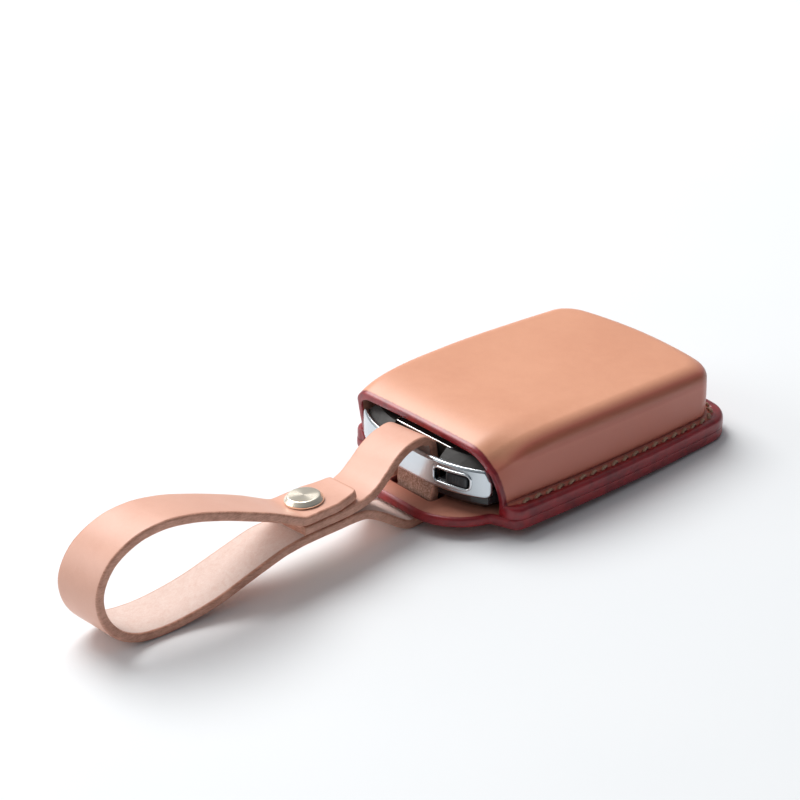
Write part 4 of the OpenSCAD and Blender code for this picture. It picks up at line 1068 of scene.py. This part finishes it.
def make_slider():
    """Finger piece with a step and three fine grip ribs, on its carrier plate and spring hook."""
    n = 72
    b = Build()

    def loft(rows, shift=0.0):
        first = None
        for w, h, r, dep, off in rows:
            o = ring_outline(w, h, r, n)
            o[:, 0] += off + shift
            j = b.add(on_case(bezel_points(o, dep, wrap=False)))
            first = j if first is None else first
        b.grid(first, len(rows), n, 0, wrap=True)
        b.face(range(first, first + n))
        b.face(range(j, j + n))

    # finger piece, from the back to its softly crowned front
    loft([(5.2, 2.36, 0.2, 2.6, 1.4), (5.2, 2.36, 0.25, 0.15, 1.4), (5.14, 2.3, 0.3, 0.0, 1.4), (5.0, 2.16, 0.32, -0.1, 1.4), (4.7, 1.86, 0.3, -0.16, 1.4), (3.6, 0.9, 0.2, -0.2, 1.4)])
    for k in range(3):
        loft([(0.3, 1.7, 0.1, 0.0, 0.0), (0.3, 1.7, 0.1, -0.2, 0.0), (0.2, 1.6, 0.08, -0.27, 0.0), (0.08, 1.4, 0.03, -0.29, 0.0)], 0.7 + k * 0.7)
    # carrier plate behind the bar
    loft([(4.3, 3.1, 0.3, 3.5, 1.4), (4.4, 3.2, 0.35, 3.4, 1.4), (4.4, 3.2, 0.35, 2.5, 1.4), (4.3, 3.1, 0.3, 2.4, 1.4)])
    loft([(1.3, 1.1, 0.2, 4.6, 0.3), (1.4, 1.2, 0.25, 4.5, 0.3), (1.4, 1.2, 0.25, 3.4, 0.3)])
    return b.object("release_slider_piece", [MAT_SLIDER], flat=math.radians(50))


# ---------------------------------------------------------------------------
# Make the pieces, hide the CAD parts they replace, and attach all but the strap to the body they ride on
# ---------------------------------------------------------------------------
def use(ob, body, slot, *nodes):
    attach(ob, body)
    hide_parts(*nodes)
    return ob


shell = use(make_shell(), "cover", "shell_leather", "molded_shell")
base = use(make_base(), "cover", "base_leather", "base_panel")
thread = use(make_stitches(), "cover", "thread", "flange_stitching")
strap = make_strap()
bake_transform(strap)
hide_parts("strap_loop", "strap_threaded_end")
cap = use(make_cap(), "strap", "post_metal", "screw_post")
screw = use(make_screw(), "post_screw", "post_metal", "post_screw")
bar = use(make_bar(), "cover", "bright_trim", "fob_end_bar")
trim = use(make_trim(), "cover", "bright_trim", "fob_face_trim")
bezel = use(make_bezel(), "cover", "dark_trim", "slider_bezel")
slider = use(make_slider(), "slider", "black_plastic", "release_slider")

CAD_FINISH = {
    "fob_lower_housing": MAT_BLACK, "fob_upper_housing": MAT_MATTE, "housing_gasket": MAT_GASKET,
    "slider_spring": MAT_STEEL, "emergency_blade": MAT_STEEL, "circuit_board": MAT_BOARD, "tactile_switches": MAT_TIN,
    "button_frame": MAT_FRAME, "lock_button": MAT_BUTTON, "unlock_button": MAT_BUTTON, "boot_button": MAT_BUTTON,
    "antenna_block": MAT_FERRITE, "coin_cell": MAT_TIN, "battery_clip": MAT_GOLD,
}
for node_name, material in CAD_FINISH.items():
    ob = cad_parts[node_name]
    for s in ob.material_slots:
        s.material = material
    if not ob.material_slots:
        ob.data.materials.append(material)

# ---------------------------------------------------------------------------
# Floor, light and camera
# ---------------------------------------------------------------------------
fm = Mat("white_table")
tone = fm.noise(9, 3, 0.5)
fm.set(Base_Color=fm.mix(fm.range(tone, 0.3, 0.7), (0.835, 0.86, 0.885), (0.855, 0.875, 0.895)), Roughness=fm.math("MULTIPLY_ADD", fm.noise(400, 3), 0.1, 0.5),
       Normal=fm.bump(fm.noise(1400, 2), 0.00001, 0.3))
fm.set(Specular_IOR_Level=0.2)
fb = bmesh.new()
bmesh.ops.create_grid(fb, x_segments=8, y_segments=8, size=3.0)
fme = bpy.data.meshes.new("table")
fb.to_mesh(fme)
fb.free()
fme.materials.append(fm.m)
table = bpy.data.objects.new("table", fme)
bpy.context.scene.collection.objects.link(table)

world = bpy.data.worlds.new("studio")
bpy.context.scene.world = world
world.use_nodes = True
wt = world.node_tree
wt.nodes.clear()
wo = wt.nodes.new("ShaderNodeOutputWorld")
bg = wt.nodes.new("ShaderNodeBackground")
tc = wt.nodes.new("ShaderNodeTexCoord")
dot = wt.nodes.new("ShaderNodeVectorMath")
dot.operation = "DOT_PRODUCT"
dot.inputs[1].default_value = (-0.70, 0.05, 0.71)
wt.links.new(tc.outputs["Generated"], dot.inputs[0])
mr = wt.nodes.new("ShaderNodeValToRGB")
mr.color_ramp.elements[0].position = 0.0
mr.color_ramp.elements[0].color = (0.06, 0.07, 0.085, 1)
mr.color_ramp.elements[1].position = 1.0
mr.color_ramp.elements[1].color = (1.0, 1.0, 1.0, 1)
el = mr.color_ramp.elements.new(0.45)
el.color = (0.21, 0.235, 0.262, 1)
half = wt.nodes.new("ShaderNodeMath")
half.operation = "MULTIPLY_ADD"
half.inputs[1].default_value = 0.5
half.inputs[2].default_value = 0.5
wt.links.new(dot.outputs["Value"], half.inputs[0])
wt.links.new(half.outputs[0], mr.inputs[0])
wt.links.new(mr.outputs[0], bg.inputs[0])
bg.inputs[1].default_value = 0.55
wt.links.new(bg.outputs[0], wo.inputs[0])


def area(name, direction, dist, size, power, color, target=(0, 0.0, 0.01)):
    d = Vector(direction).normalized()
    li = bpy.data.lights.new(name, "AREA")
    li.shape = "DISK"
    li.size = size
    li.energy = power
    li.color = color
    ob = bpy.data.objects.new(name, li)
    ob.location = Vector(target) + d * dist
    ob.rotation_euler = d.to_track_quat("Z", "Y").to_euler()
    bpy.context.scene.collection.objects.link(ob)
    return ob


area("key", (-0.60, 0.02, 0.80), 1.3, 0.95, 17.6, (1.0, 0.99, 0.975))
area("left_fill", (-0.70, -0.65, 0.35), 1.5, 0.9, 6.2, (1.0, 0.99, 0.98))

cam_data = bpy.data.cameras.new("camera")
cam = bpy.data.objects.new("camera", cam_data)
bpy.context.scene.collection.objects.link(cam)
CAM_AZ, CAM_EL, CAM_D, CAM_F, CAM_X, CAM_Y = math.radians(48.66), math.radians(26.78), 498.57, 2078.42, -36.71, 23.27
back = np.array([math.sin(CAM_AZ) * math.cos(CAM_EL), -math.cos(CAM_AZ) * math.cos(CAM_EL), math.sin(CAM_EL)])
right = np.array([math.cos(CAM_AZ), math.sin(CAM_AZ), 0.0])
up = np.cross(back, right)
eye = on_case(np.array([CAM_X, CAM_Y, 0.0]) + CAM_D * back)[0]
turn = np.array([[1, 0, 0], [0, math.cos(TILT), math.sin(TILT)], [0, -math.sin(TILT), math.cos(TILT)]])
right, up, back = turn @ right, turn @ up, turn @ back
cam.matrix_world = Matrix(((right[0], up[0], back[0], eye[0]), (right[1], up[1], back[1], eye[1]), (right[2], up[2], back[2], eye[2]), (0, 0, 0, 1)))
cam_data.sensor_width = 36.0
cam_data.lens = CAM_F / 800 * 36.0
cam_data.clip_start = 0.01
cam_data.clip_end = 20.0
bpy.context.scene.camera = cam
bpy.context.scene.view_settings.view_transform = "Standard"
bpy.context.scene.view_settings.look = "None"
bpy.context.scene.view_settings.exposure = 0.0
bpy.context.scene.view_settings.gamma = 1.0

bpy.context.view_layer.update()
